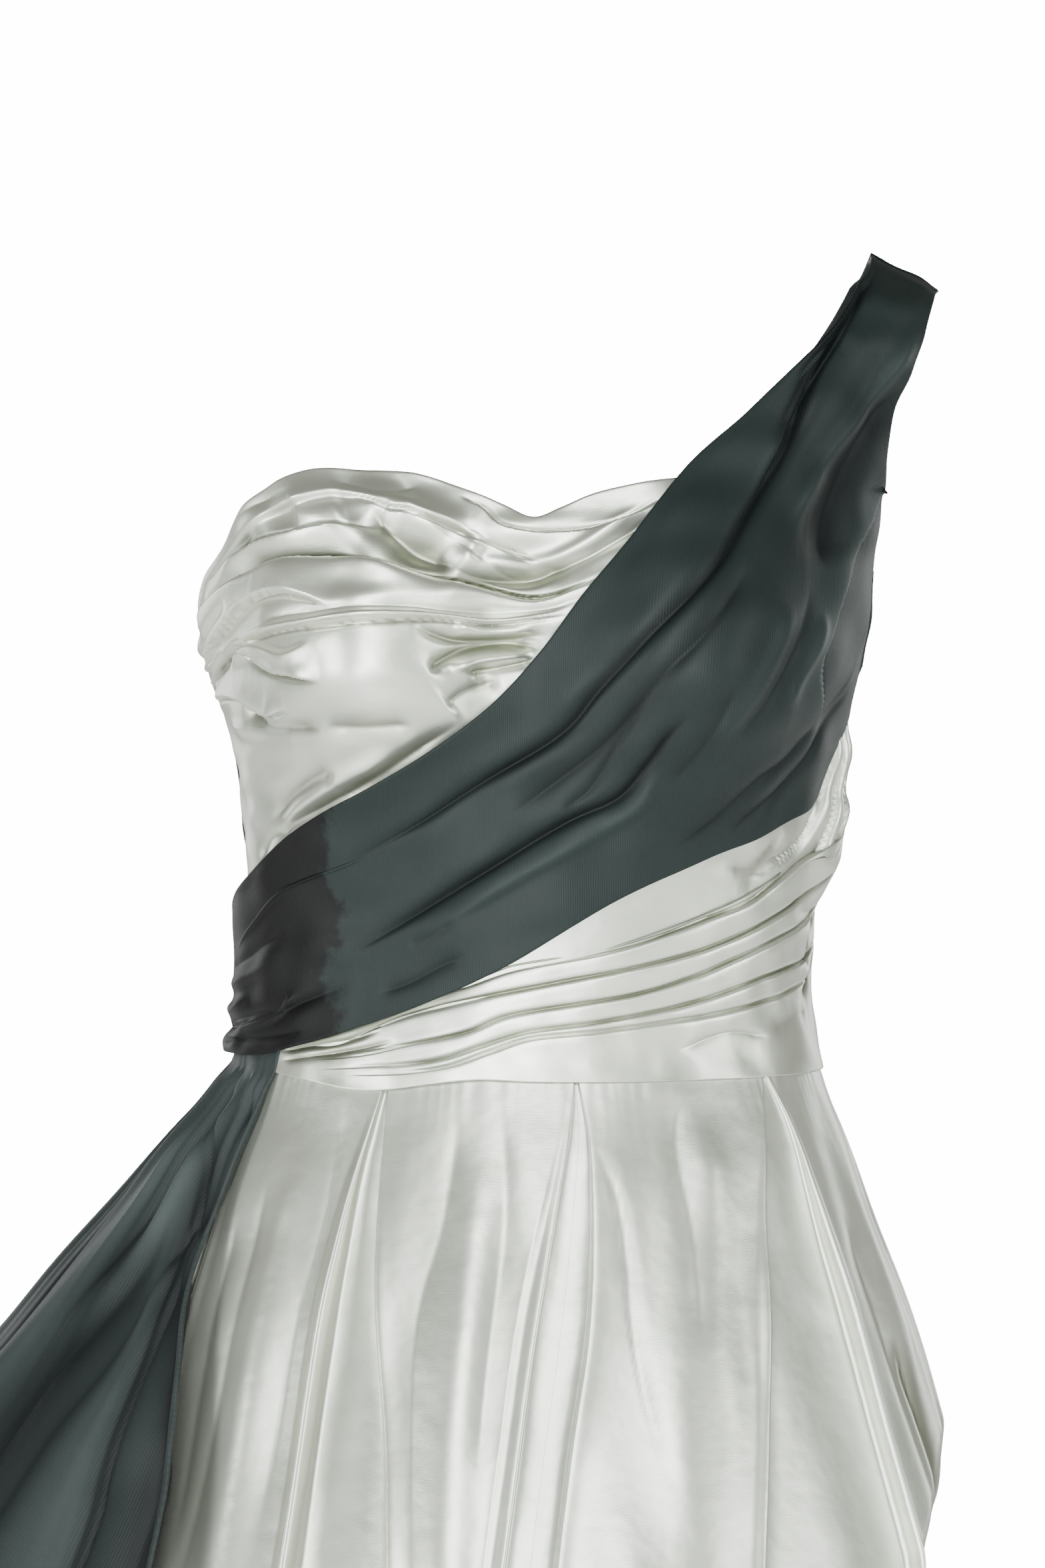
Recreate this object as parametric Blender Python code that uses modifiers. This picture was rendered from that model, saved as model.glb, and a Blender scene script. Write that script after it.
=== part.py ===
"""One-shoulder ball gown in silk satin with a faille sash, hollow as it is worn.

Metres, +Z up. The front faces -Y. The origin is the middle of the waist, level with the waist seam.
Every sewn piece is an open surface with a Solidify wall, laid over one smooth general figure.
Angles run round the figure: 0 is centre front, 90 is the +X side seam, 180 is centre back.
"""
import math

import bpy
import numpy as np

# Driving dimensions in metres
WALL = 0.002
SEAM_GAP = 0.0003
SIDE_SEAM_GAP = 0.0008
SASH_JOIN = 0.0016
BODICE_OFF = 0.003
PLACKET_OFF = 0.0058
PLACKET_LOW = 0.052
PLACKET_HIGH = 0.160
SWATHE_OFF = 0.0065
FALL_TOP_OFF = 0.0060
SASH_OFF = 0.0105
BUST_X = 0.080
BUST_Z = 0.175
BUST_DEPTH = 0.040
BUST_WIDTH = 0.047
SHOULDER_INNER_X = 0.141
SHOULDER_SLOPE = 0.52

# Figure: path up the side, height, half width, depth to the front, depth to the back
FIGURE = (
    (-0.020, -0.020, 0.1275, 0.097, 0.088),
    (0.000, 0.000, 0.1225, 0.092, 0.083),
    (0.025, 0.025, 0.1185, 0.090, 0.080),
    (0.055, 0.055, 0.1185, 0.092, 0.081),
    (0.085, 0.085, 0.1200, 0.096, 0.085),
    (0.115, 0.115, 0.1225, 0.100, 0.090),
    (0.145, 0.145, 0.1270, 0.104, 0.096),
    (0.175, 0.175, 0.1340, 0.106, 0.101),
    (0.200, 0.200, 0.1380, 0.107, 0.103),
    (0.225, 0.225, 0.1405, 0.105, 0.104),
    (0.255, 0.255, 0.1470, 0.099, 0.104),
    (0.285, 0.285, 0.1580, 0.089, 0.102),
    (0.315, 0.310, 0.1700, 0.074, 0.094),
    (0.345, 0.328, 0.1765, 0.055, 0.070),
    (0.375, 0.339, 0.1790, 0.030, 0.036),
    (0.400, 0.343, 0.1795, 0.000, 0.000),
)
# Skirt: drop below the waist seam, half width, depth to the front, depth to the back
SKIRT = (
    (0.000, 0.1255, 0.095, 0.086),
    (0.015, 0.1305, 0.100, 0.091),
    (0.040, 0.1400, 0.109, 0.101),
    (0.070, 0.1500, 0.119, 0.112),
    (0.105, 0.1625, 0.132, 0.127),
    (0.160, 0.1790, 0.151, 0.149),
    (0.220, 0.1980, 0.171, 0.172),
    (0.400, 0.2580, 0.228, 0.235),
    (0.700, 0.3580, 0.325, 0.345),
    (1.050, 0.4700, 0.435, 0.465),
)
# How far the skirt may stand out at its +X side, where it hangs in: drop, widest half width, softness
SIDE_LIMIT = (
    (0.100, 0.200), (0.140, 0.190), (0.165, 0.180), (0.185, 0.176), (0.206, 0.168), (0.235, 0.168),
    (0.280, 0.177), (0.340, 0.196), (0.420, 0.226), (0.500, 0.257), (0.620, 0.304), (0.750, 0.356),
    (0.900, 0.425), (1.050, 0.560),
)
SIDE_SOFTNESS = 0.006
# Gathers bunched at the -X side seam of the bust: how proud, how wide in degrees, height, how tall
SIDE_GATHER = 0.005
SIDE_GATHER_WIDTH = 17.0
SIDE_GATHER_Z = 0.182
SIDE_GATHER_HEIGHT = 0.026
# Inverted pleats: angle at the waist, then its two fold lines' angles 0.22 below the waist
PLEATS = (
    (-68.0, -74.0, -62.0),
    (-29.4, -29.7, -17.0),
    (9.4, -2.7, 3.1),
    (54.0, 30.0, 54.7),
    (98.0, 92.0, 104.0),
    (140.0, 134.0, 146.0),
    (180.0, 174.0, 186.0),
    (220.0, 214.0, 226.0),
    (256.0, 250.0, 262.0),
)
# Upper edge of the bodice: angle, height
NECKLINE = (
    (-180, 0.165), (-150, 0.165), (-120, 0.175), (-100, 0.190), (-88, 0.199), (-82, 0.207),
    (-65, 0.225), (-58, 0.238), (-48, 0.248), (-39, 0.254), (-29, 0.254), (-19, 0.252),
    (-10, 0.245), (-4, 0.239), (1, 0.234), (5, 0.238), (10, 0.243), (18, 0.247),
    (30, 0.252), (50, 0.252), (75, 0.238), (90, 0.224), (120, 0.195), (150, 0.172), (180, 0.165),
)
# Sash edges from the shoulder down to the far waist: share of its length, angle, path up the side
SASH_UPPER = (
    (0.00, 53.5, 0.400), (0.06, 53.0, 0.360), (0.12, 51.0, 0.335), (0.18, 47.5, 0.315),
    (0.25, 41.5, 0.295), (0.31, 35.5, 0.277), (0.38, 26.8, 0.254), (0.44, 18.0, 0.222),
    (0.50, 10.0, 0.200), (0.57, 2.0, 0.178), (0.64, -7.0, 0.159), (0.71, -19.0, 0.142),
    (0.78, -32.0, 0.126), (0.85, -48.0, 0.107), (0.92, -66.0, 0.085), (1.00, -90.0, 0.066),
)
SASH_LOWER = (
    (0.00, 74.0, 0.400), (0.06, 72.0, 0.368), (0.12, 70.5, 0.340), (0.18, 70.0, 0.312),
    (0.25, 72.0, 0.280), (0.31, 80.0, 0.246), (0.38, 90.0, 0.218), (0.44, 90.0, 0.155),
    (0.50, 76.0, 0.124), (0.57, 58.0, 0.110), (0.64, 36.0, 0.094), (0.71, 16.0, 0.075),
    (0.78, -6.0, 0.046), (0.85, -30.0, 0.023), (0.92, -58.0, 0.006), (1.00, -90.0, 0.002),
)
SASH_FOLDS = ((0.22, 0.0016), (0.36, -0.0022), (0.58, 0.0014), (0.70, -0.0018), (0.86, 0.0012))
SASH_FOLD_WIDTH = 0.055
# Upper edge of the waist swathe: angle, height
SWATHE_TOP = (
    (-60, 0.013), (-40, 0.022), (-20, 0.036), (-3, 0.046), (14, 0.052), (32, 0.063),
    (52, 0.077), (73, 0.092), (90, 0.102),
)
SWATHE_LOW = -0.004
SWATHE_PLEATS = 5
SWATHE_RELIEF = 0.0012
# Hip fall: drop, stand-off from the skirt at the side, front edge's angle, back edge's angle
FALL = (
    (0.000, 0.000, -63.0, -118.0),
    (0.014, 0.006, -60.0, -119.0),
    (0.030, 0.015, -57.0, -120.0),
    (0.060, 0.030, -55.5, -121.0),
    (0.090, 0.046, -54.0, -123.0),
    (0.120, 0.060, -52.0, -124.0),
    (0.160, 0.082, -49.0, -126.0),
    (0.220, 0.102, -46.0, -128.0),
    (0.320, 0.110, -44.0, -130.0),
    (0.480, 0.100, -43.0, -132.0),
    (0.720, 0.070, -42.5, -134.0),
    (1.000, 0.035, -42.0, -135.0),
)
FALL_LENGTH = 0.99
FALL_SPLIT = -93.0
FALL_INNER_START = -80.0
FALL_FOLDS = 4
FALL_COLUMNS = 16

# Rows of the skirt's grid, as drops below the waist seam
SKIRT_ROWS = (
    0.00015, 0.015, 0.04, 0.07, 0.105, 0.15, 0.18, 0.21, 0.25, 0.30, 0.37, 0.48, 0.62, 0.78, 0.92, 1.05,
)
# Rows of the hip fall's grid, as drops below the waist seam
FALL_ROWS = (0.006, 0.018, 0.035, 0.06, 0.09, 0.125, 0.17, 0.22, 0.30, 0.42, 0.58, 0.77, FALL_LENGTH)
# Columns across a pleat's half opening, where 1 is its folded edge
PLEAT_COLUMNS = (0.0, 0.5, 0.85, 1.15, 1.8)

SATIN = (0.66, 0.68, 0.65)
FAILLE = (0.045, 0.060, 0.057)


def smooth(low, high, value):
    """Ramp from 0 at low to 1 at high."""
    share = np.clip((value - low) / (high - low), 0.0, 1.0)
    return share * share * (3.0 - 2.0 * share)


def read_curve(table, column, key):
    """Smooth curve through one column of a short table, read at key."""
    keys = np.array([row[0] for row in table], dtype=float)
    values = np.array([row[column] for row in table], dtype=float)
    slopes = np.gradient(values, keys)
    key = np.clip(key, keys[0], keys[-1])
    i = np.clip(np.searchsorted(keys, key) - 1, 0, len(keys) - 2)
    step = keys[i + 1] - keys[i]
    t = (key - keys[i]) / step
    start = (2 * t**3 - 3 * t**2 + 1) * values[i] + (t**3 - 2 * t**2 + t) * step * slopes[i]
    end = (3 * t**2 - 2 * t**3) * values[i + 1] + (t**3 - t**2) * step * slopes[i + 1]
    return start + end


def figure_point(angle, path):
    """Point on the smooth general figure that the gown is cut for."""
    turn = np.radians(angle)
    side = np.sin(turn)
    facing = np.cos(turn)
    half_width = read_curve(FIGURE, 2, path)
    depth = np.where(facing > 0, read_curve(FIGURE, 3, path), read_curve(FIGURE, 4, path))
    squareness = 1.0 - 0.28 * smooth(0.20, 0.30, path)
    x = half_width * side
    z = read_curve(FIGURE, 1, path)
    y = -np.sign(facing) * depth * np.abs(facing) ** squareness
    tall = np.where(z > BUST_Z, 0.062, 0.050)
    cups = sum(np.exp(-((x - s * BUST_X) / BUST_WIDTH) ** 2 - ((z - BUST_Z) / tall) ** 2) for s in (-1, 1))
    y = y - np.where(facing > 0, BUST_DEPTH * cups * np.clip(facing * 1.6, 0, 1), 0.0)
    z = z - smooth(0.30, 0.39, path) * SHOULDER_SLOPE * np.maximum(x - SHOULDER_INNER_X, 0.0)
    return np.array([x, y, z])


def figure_normal(angle, path):
    """Unit vector out of the figure."""
    across = figure_point(angle + 0.4, path) - figure_point(angle - 0.4, path)
    upper = min(path + 0.002, 0.3995)
    up = figure_point(angle, upper) - figure_point(angle, upper - 0.004)
    normal = np.cross(across, up)
    return normal / np.linalg.norm(normal)


def on_figure(angle, path, offset):
    """Point that lies offset outside the figure."""
    return figure_point(angle, path) + figure_normal(angle, path) * offset


def mirror_back(angle):
    """Angle of the same place on the back."""
    return 180.0 - angle


def pleat_edges(pleat, drop):
    """Angles of a pleat's two folded edges at a drop below the waist."""
    apex, left, right = pleat
    opening = 1.3 * (1.0 - math.exp(-6.65 * drop))
    least = math.degrees(0.0008 / 0.125)
    return apex + (left - apex) * opening - least, apex + (right - apex) * opening + least


def held_in(x, drop):
    """Sideways place of the skirt, held in at its +X side."""
    limit = read_curve(SIDE_LIMIT, 1, drop)
    past = x - (limit - SIDE_SOFTNESS)
    if past <= 0.0:
        return x
    return limit - SIDE_SOFTNESS * math.exp(-past / SIDE_SOFTNESS)


def skirt_point(angle, drop, out=0.0):
    """Point of the skirt's smooth form, without pleats, moved out by a distance."""
    turn = math.radians(angle)
    x = held_in(read_curve(SKIRT, 1, drop) * math.sin(turn), drop) + out * math.sin(turn)
    column = 2 if math.cos(turn) > 0 else 3
    depth = read_curve(SKIRT, column, drop) + out
    return np.array([x, -depth * math.cos(turn), -drop])


def pleat_depth(drop):
    """How far a pleat's underlay lies behind its folded edges."""
    return 0.010 * smooth(0.0, 0.10, drop) + 0.035 * smooth(0.08, 1.05, drop)


def pleat_swell(drop):
    """How far a pleat's folded edges stand proud."""
    return 0.003 * smooth(0.0, 0.12, drop) + 0.015 * smooth(0.10, 1.05, drop)


def pleated_point(pleat, column, drop, inset):
    """Skirt point in a pleat's own columns: -1 and 1 are its folded edges."""
    left, right = pleat_edges(pleat, drop)
    angle = 0.5 * (left + right) + column * 0.5 * (right - left)
    angle += inset * math.degrees(0.5 * SEAM_GAP / read_curve(SKIRT, 1, drop))
    reach = abs(column)
    recess = pleat_depth(drop) * (1.0 - smooth(0.5, 1.1, reach))
    swell = pleat_swell(drop) * math.exp(-(((reach - 1.4) / 0.6) ** 2))
    return skirt_point(angle, drop, swell - recess)


def gore_columns(first, last):
    """Columns from the middle of one pleat to the middle of a later one."""
    columns = []
    for k in range(first, last):
        columns += [(k, c) for c in PLEAT_COLUMNS]
        columns += [("between", k, 0.5)]
        columns += [(k + 1, -c) for c in reversed(PLEAT_COLUMNS[1:])]
    columns.append((last, 0.0))
    return columns


def pleat_at(k):
    """Pleat k, counted on past a whole turn."""
    turns, index = divmod(k, len(PLEATS))
    return tuple(value + 360.0 * turns for value in PLEATS[index])


def gore_point(column, drop, inset):
    """Skirt point for one entry of gore_columns."""
    if column[0] != "between":
        return pleated_point(pleat_at(column[0]), column[1], drop, inset)
    left = pleat_edges(pleat_at(column[1]), drop)[1]
    right = pleat_edges(pleat_at(column[1] + 1), drop)[0]
    return skirt_point(left + (right - left) * column[2], drop, 0.3 * pleat_swell(drop))


def sash_point(share, across, back=False):
    """Point of the sash: share runs along it, across runs from its upper to its lower edge."""
    angle_top = read_curve(SASH_UPPER, 1, share)
    angle_low = read_curve(SASH_LOWER, 1, share)
    path_top = read_curve(SASH_UPPER, 2, share)
    path_low = read_curve(SASH_LOWER, 2, share)
    angle = angle_top + (angle_low - angle_top) * across
    path = path_top + (path_low - path_top) * across
    fold = sum(h * math.exp(-(((across - c) / SASH_FOLD_WIDTH) ** 2)) for c, h in SASH_FOLDS)
    offset = SASH_OFF + fold * smooth(0.05, 0.3, share)
    if back:
        angle = mirror_back(angle)
        offset = SASH_OFF
    return on_figure(angle, min(path, 0.3994), offset)


def swathe_point(angle, up, back=False):
    """Point of the waist swathe: up runs from the waist seam to its upper edge."""
    top = read_curve(SWATHE_TOP, 1, angle)
    height = SWATHE_LOW + (top - SWATHE_LOW) * up
    wave = math.sin(math.pi * SWATHE_PLEATS * up) ** 2
    relief = 0.0 if back else SWATHE_RELIEF * wave * smooth(5.0, 35.0, angle)
    return on_figure(mirror_back(angle) if back else angle, height, SWATHE_OFF - 0.0005 + relief)


def fall_point(angle, drop, extra):
    """Point of the hip fall at an angle, with an extra stand-off for its layer."""
    stand = read_curve(FALL, 1, drop)
    front = read_curve(FALL, 2, drop)
    back = read_curve(FALL, 3, drop)
    middle = -92.0
    side = (angle - middle) / ((front - middle) if angle > middle else (back - middle))
    hump = 0.16 + 0.84 * (1.0 - smooth(0.0, 1.0, abs(side)))
    out = FALL_TOP_OFF - BODICE_OFF + stand * hump + pleat_swell(drop) * smooth(0.0, 0.1, drop)
    return skirt_point(angle, drop, out + extra * smooth(0.0, 0.05, drop))


def fall_fold(share, drop, start):
    """Soft vertical folds of the fall, growing as it drops."""
    height = 0.0015 + 0.010 * smooth(0.02, 0.3, drop) + 0.010 * smooth(0.3, 1.0, drop)
    return height * (math.sin(2 * math.pi * (FALL_FOLDS * share + start)) + 1.0) * smooth(0.0, 0.04, drop)


def clear_scene():
    """Remove whatever the scene holds."""
    for item in list(bpy.data.objects):
        bpy.data.objects.remove(item, do_unlink=True)


def make_material(name, colour, roughness):
    """Plain Principled material."""
    material = bpy.data.materials.new(name)
    material.use_nodes = True
    shader = material.node_tree.nodes["Principled BSDF"]
    shader.inputs["Base Color"].default_value = (*colour, 1.0)
    shader.inputs["Roughness"].default_value = roughness
    shader.inputs["Metallic"].default_value = 0.0
    return material


def add_panel(collection, name, rows, colour, roughness, even_wall=True):
    """One cloth piece: a grid of outer points, lowest row first, given a wall on its inner side.

    A wall kept even would shoot far inside at a pleat's sharp folds, so pleated pieces do without.
    """
    height = len(rows)
    width = len(rows[0])
    points = [tuple(float(value) for value in point) for row in rows for point in row]
    faces = []
    for i in range(height - 1):
        for j in range(width - 1):
            corner = i * width + j
            faces.append((corner, corner + 1, corner + width + 1, corner + width))
    mesh = bpy.data.meshes.new(name)
    mesh.from_pydata(points, [], faces)
    mesh.shade_smooth()
    mesh.materials.append(make_material(name, colour, roughness))
    piece = bpy.data.objects.new(name, mesh)
    collection.objects.link(piece)
    wall = piece.modifiers.new("Cloth wall", "SOLIDIFY")
    wall.thickness = WALL
    wall.offset = -1.0
    wall.use_even_offset = even_wall
    return piece


def spread(first, last, count):
    """Even steps from first to last."""
    return [first + (last - first) * i / count for i in range(count + 1)]


def side_gather(angle, height):
    """How far the bunched gathers at the -X side seam stand out."""
    turn = ((angle + 90.0) / SIDE_GATHER_WIDTH) ** 2
    return SIDE_GATHER * math.exp(-turn - ((height - SIDE_GATHER_Z) / SIDE_GATHER_HEIGHT) ** 2)


def add_bodice(collection, name, first, last, columns, rows):
    """Bodice panel between two angles, from the waist seam to the neckline."""
    inset = math.degrees(0.5 * SIDE_SEAM_GAP / 0.12)
    angles = spread(first + inset, last - inset, columns)
    low = 0.5 * SEAM_GAP
    grid = []
    turned = [(angle + 180.0) % 360.0 - 180.0 for angle in angles]
    for up in spread(0.0, 1.0, rows):
        heights = [low + (read_curve(NECKLINE, 1, angle) - low) * up for angle in turned]
        offsets = [BODICE_OFF + side_gather(angle, height) for angle, height in zip(turned, heights)]
        grid.append([on_figure(*place) for place in zip(turned, heights, offsets)])
    return add_panel(collection, name, grid, SATIN, 0.38)


def add_placket(collection):
    """Lap over the closure at centre back."""
    grid = []
    for height in spread(PLACKET_LOW, PLACKET_HIGH, 6):
        grid.append([on_figure(a, height, PLACKET_OFF) for a in spread(177.5, 184.0, 2)])
    return add_panel(collection, "back_placket", grid, SATIN, 0.38)


def add_gore(collection, name, first, last):
    """Skirt gore between the middles of two pleats."""
    columns = gore_columns(first, last)
    grid = []
    for drop in reversed(SKIRT_ROWS):
        row = []
        for j, column in enumerate(columns):
            inset = 1.0 if j == 0 else (-1.0 if j == len(columns) - 1 else 0.0)
            row.append(gore_point(column, drop, inset))
        grid.append(row)
    return add_panel(collection, name, grid, SATIN, 0.38, even_wall=False)


def add_swathe(collection, name, back):
    """Pleated band that crosses the waist from one side seam."""
    ends = spread(-59.0, 89.85, 20)
    grid = []
    for up in spread(0.0, 1.0, 3 if back else 10):
        row = [swathe_point(a, up, back) for a in ends]
        grid.append(row[::-1] if back else row)
    return add_panel(collection, name, grid, SATIN, 0.38)


def add_sash(collection, name, back):
    """Half of the sash, from the shoulder to the far waist."""
    grid = []
    for share in reversed(spread(0.0, 1.0, 26 if back else 30)):
        row = []
        for across in spread(0.0, 1.0, 6 if back else 12):
            point = sash_point(share, across, back)
            row.append(point)
        grid.append(row[::-1] if back else row)
    for row in grid:
        for point in row:
            point[1] = max(point[1], SASH_JOIN) if back else min(point[1], -SASH_JOIN)
    return add_panel(collection, name, grid, FAILLE, 0.75)


def add_fall(collection, name, edges, extra, fullness, start):
    """Layer of the hip fall between two edges, each a function of the drop."""
    grid = []
    for drop in reversed(FALL_ROWS):
        first, last = edges(drop)
        row = []
        for share in spread(0.0, 1.0, FALL_COLUMNS):
            angle = first + (last - first) * share
            fold = fullness * fall_fold(share, drop, start)
            row.append(fall_point(angle, drop, extra(angle, drop) + fold))
        grid.append(row)
    top = [on_figure(first_angle, 0.008, FALL_TOP_OFF) for first_angle in spread(*edges(0.0), FALL_COLUMNS)]
    grid.append(top)
    return add_panel(collection, name, grid, FAILLE, 0.75)


def front_layer_edges(drop):
    """Edges of the fall's front layer, from its outermost line to the front."""
    return FALL_SPLIT, read_curve(FALL, 2, drop)


def back_layer_edges(drop):
    """Edges of the fall's back layer, from the back to inside the front layer."""
    inner = FALL_SPLIT - 1.5 + (FALL_INNER_START - FALL_SPLIT + 1.5) * smooth(0.05, 0.16, drop)
    return read_curve(FALL, 3, drop), inner


def back_layer_extra(angle, drop):
    """Back layer: tucked inside the front one, then a little further out."""
    rise = smooth(-FALL_SPLIT - 1.0, -FALL_SPLIT + 12.0, -angle)
    return (0.012 * rise - 0.026 * (1.0 - rise)) * smooth(0.01, 0.12, drop)


def build_gown():
    """Make every piece in one collection."""
    clear_scene()
    gown = bpy.data.collections.new("ball_gown")
    bpy.context.scene.collection.children.link(gown)
    add_bodice(gown, "bodice_front", -90.0, 90.0, 34, 11)
    add_bodice(gown, "bodice_back_left", 90.0, 180.0, 13, 6)
    add_bodice(gown, "bodice_back_right", 180.0, 270.0, 13, 6)
    add_placket(gown)
    add_gore(gown, "skirt_front_right", -1, 2)
    add_gore(gown, "skirt_front_left", 2, 4)
    add_gore(gown, "skirt_back_left", 4, 6)
    add_gore(gown, "skirt_back_right", 6, 8)
    add_swathe(gown, "waist_swathe", False)
    add_swathe(gown, "waist_swathe_back", True)
    add_sash(gown, "sash_front", False)
    add_sash(gown, "sash_back", True)
    add_fall(gown, "hip_fall_front", front_layer_edges, lambda angle, drop: 0.0, 1.0, 0.10)
    add_fall(gown, "hip_fall_back", back_layer_edges, back_layer_extra, 0.5, 0.55)


build_gown()
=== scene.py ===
"""One-shoulder ball gown: the visible cloth of every sewn piece, laid over the fixed frame.

Metres, +Z up, front facing -Y. Angles run round the figure: 0 is centre front, 90 the +X side seam,
180 centre back. A crease is placed by (angle in degrees, height or drop in millimetres).
"""
import math

import bpy
import numpy as np
from bpy.props import FloatProperty, FloatVectorProperty, PointerProperty
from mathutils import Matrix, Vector


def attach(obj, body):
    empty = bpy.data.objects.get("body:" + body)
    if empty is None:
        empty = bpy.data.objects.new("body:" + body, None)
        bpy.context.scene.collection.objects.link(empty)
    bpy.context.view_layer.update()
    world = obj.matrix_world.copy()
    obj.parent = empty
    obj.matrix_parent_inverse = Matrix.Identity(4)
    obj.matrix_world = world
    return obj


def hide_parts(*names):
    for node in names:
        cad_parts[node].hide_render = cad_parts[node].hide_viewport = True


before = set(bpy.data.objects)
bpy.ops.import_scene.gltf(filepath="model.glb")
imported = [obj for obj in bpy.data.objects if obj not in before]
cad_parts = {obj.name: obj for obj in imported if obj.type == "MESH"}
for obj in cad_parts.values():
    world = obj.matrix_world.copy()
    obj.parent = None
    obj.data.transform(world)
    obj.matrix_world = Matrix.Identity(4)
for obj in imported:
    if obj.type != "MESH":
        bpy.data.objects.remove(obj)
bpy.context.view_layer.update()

bl_info = {
    "name": "One-shoulder ball gown",
    "version": (1, 0, 0),
    "blender": (4, 5, 0),
    "location": "View3D > Sidebar > Gown",
    "description": "Builds the cloth, finishes, light and camera of a draped ball gown",
    "category": "Add Mesh",
}

MM = 0.001
# Cloth round the gown to one degree, on the bodice, the skirt and the hip fall
METRES_PER_DEGREE = 0.0022
SKIRT_METRES_PER_DEGREE = 0.0026
FALL_METRES_PER_DEGREE = 0.0030
# The same for the soft wrinkles of the skirt, and for the ribs of the fall
SKIRT_WRINKLE_SCALE = 0.0030
FALL_RIB_SCALE = 0.0035
# How far each layer of cloth lies off the figure
BODICE_OFF = 0.0030
PLACKET_OFF = 0.0058
SWATHE_OFF = 0.0050
FALL_TOP_OFF = 0.0060
SASH_OFF = 0.0105
# Least distance of the sash from the figure, under its deepest folds
SASH_CLEARANCE = 0.0048
# Gaps at seams: the sash's halves, a gore's side, the bodice's foot, and the side seams, in degrees
SASH_JOIN = 0.0001
SEAM_GAP = 0.00005
BODICE_FOOT = 0.00015
SIDE_SEAM_INSET = 0.10
# Share of the sash's length over which its halves close up at the shoulder
SHOULDER_JOIN_SHARE = 0.03
# Rows that a turned edge adds
EDGE_ROWS = 8
# Relief at which the painted shade in a fold and the painted highlight on a crest are full
BODICE_FULL_FOLD = 0.0038
SWATHE_FULL_FOLD = 0.0016
SASH_FULL_FOLD = 0.0040
SKIRT_FULL_FOLD = 0.0040
FALL_FULL_FOLD = 0.0042
# Painted shade and painted highlight: what the colour is multiplied by deep in a fold and on its crest
SATIN_PAINTED_SHADE = (0.42, 0.43, 0.37)
SATIN_PAINTED_HIGHLIGHT = (1.12, 1.12, 1.11)
FAILLE_PAINTED_SHADE = (0.28, 0.28, 0.30)
FAILLE_PAINTED_HIGHLIGHT = (1.9, 1.85, 1.85)
# Painted light on the hip fall: the same faille made lighter by factors of red, green and blue
FALL_PAINTED_LIGHT = (2.1, 1.8, 1.85)
# The crushed patch of the sash: where its ragged edge fades, in x, and how ragged it is
PATCH_FULL = -0.056
PATCH_NONE = -0.049
PATCH_RAGGED = 0.060

# The photograph's frame and the camera's place and aim
IMAGE_HEIGHT = 2352
METRES_PER_PIXEL = 0.00029
CAMERA_X = -0.0029
CAMERA_AIM = 0.12
CAMERA_HEIGHT = 0.216
SENSOR_WIDTH = 36.0
# Soft boxes: name, place, width and height, and the setting that holds the power
SOFT_BOXES = (
    ("Key soft box", (-0.3, -3.6, -0.10), (1.5, 1.2), "key_power"),
    ("Left soft box", (-2.9, -1.4, -0.1), (1.0, 1.3), "left_power"),
    ("Right soft box", (3.0, -1.4, 0.35), (0.9, 1.5), "right_power"),
    ("High soft box", (0.2, -3.1, 1.45), (1.6, 0.8), "high_power"),
    ("Low soft box", (-0.5, -2.6, -0.85), (1.8, 0.6), "low_power"),
    ("Back soft box, right", (-2.4, 3.2, 0.5), (1.4, 1.8), "back_power"),
    ("Back soft box, left", (2.4, 3.2, 0.5), (1.4, 1.8), "back_power"),
)
SOFT_BOX_COLOUR = (0.96, 1.0, 1.0)
ROOM_COLOUR = (1.0, 0.96, 0.78, 1.0)
FLOOR_GAP = 0.004

# Bust: sideways place, height, how proud and how wide
BUST_X = 0.080
BUST_Z = 0.175
BUST_DEPTH = 0.040
BUST_WIDTH = 0.047
# Shoulder: where its slope begins in x, the slope, and the top of the path up the side
SHOULDER_INNER_X = 0.141
SHOULDER_SLOPE = 0.52
FIGURE_TOP = 0.3995
# General figure that the gown is cut for: path up the side, height, half width, depth to the front
# and depth to the back
FIGURE = (
    (-0.020, -0.020, 0.1275, 0.097, 0.088),
    (0.000, 0.000, 0.1225, 0.092, 0.083),
    (0.025, 0.025, 0.1185, 0.090, 0.080),
    (0.055, 0.055, 0.1185, 0.092, 0.081),
    (0.085, 0.085, 0.1200, 0.096, 0.085),
    (0.115, 0.115, 0.1225, 0.100, 0.090),
    (0.145, 0.145, 0.1270, 0.104, 0.096),
    (0.175, 0.175, 0.1340, 0.106, 0.101),
    (0.200, 0.200, 0.1380, 0.107, 0.103),
    (0.225, 0.225, 0.1405, 0.105, 0.104),
    (0.255, 0.255, 0.1470, 0.099, 0.104),
    (0.285, 0.285, 0.1580, 0.089, 0.102),
    (0.315, 0.310, 0.1700, 0.074, 0.094),
    (0.345, 0.328, 0.1765, 0.055, 0.070),
    (0.375, 0.339, 0.1790, 0.030, 0.036),
    (0.400, 0.343, 0.1795, 0.000, 0.000),
)
# Drop below the waist seam, half width, depth to the front, depth to the back
SKIRT = (
    (0.000, 0.1255, 0.095, 0.086),
    (0.015, 0.1305, 0.100, 0.091),
    (0.040, 0.1400, 0.109, 0.101),
    (0.070, 0.1500, 0.119, 0.112),
    (0.105, 0.1625, 0.132, 0.127),
    (0.160, 0.1790, 0.151, 0.149),
    (0.220, 0.1980, 0.171, 0.172),
    (0.400, 0.2580, 0.228, 0.235),
    (0.700, 0.3580, 0.325, 0.345),
    (1.050, 0.4700, 0.435, 0.465),
)
SKIRT_LENGTH = 1.050
# How far the skirt may stand out at its +X side, where it hangs in: drop, half width
SIDE_LIMIT = (
    (0.100, 0.200), (0.140, 0.190), (0.165, 0.180), (0.185, 0.176), (0.206, 0.168), (0.235, 0.168),
    (0.280, 0.177), (0.340, 0.196), (0.420, 0.226), (0.500, 0.257), (0.620, 0.304), (0.750, 0.356),
    (0.900, 0.425), (1.050, 0.560),
)
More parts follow.
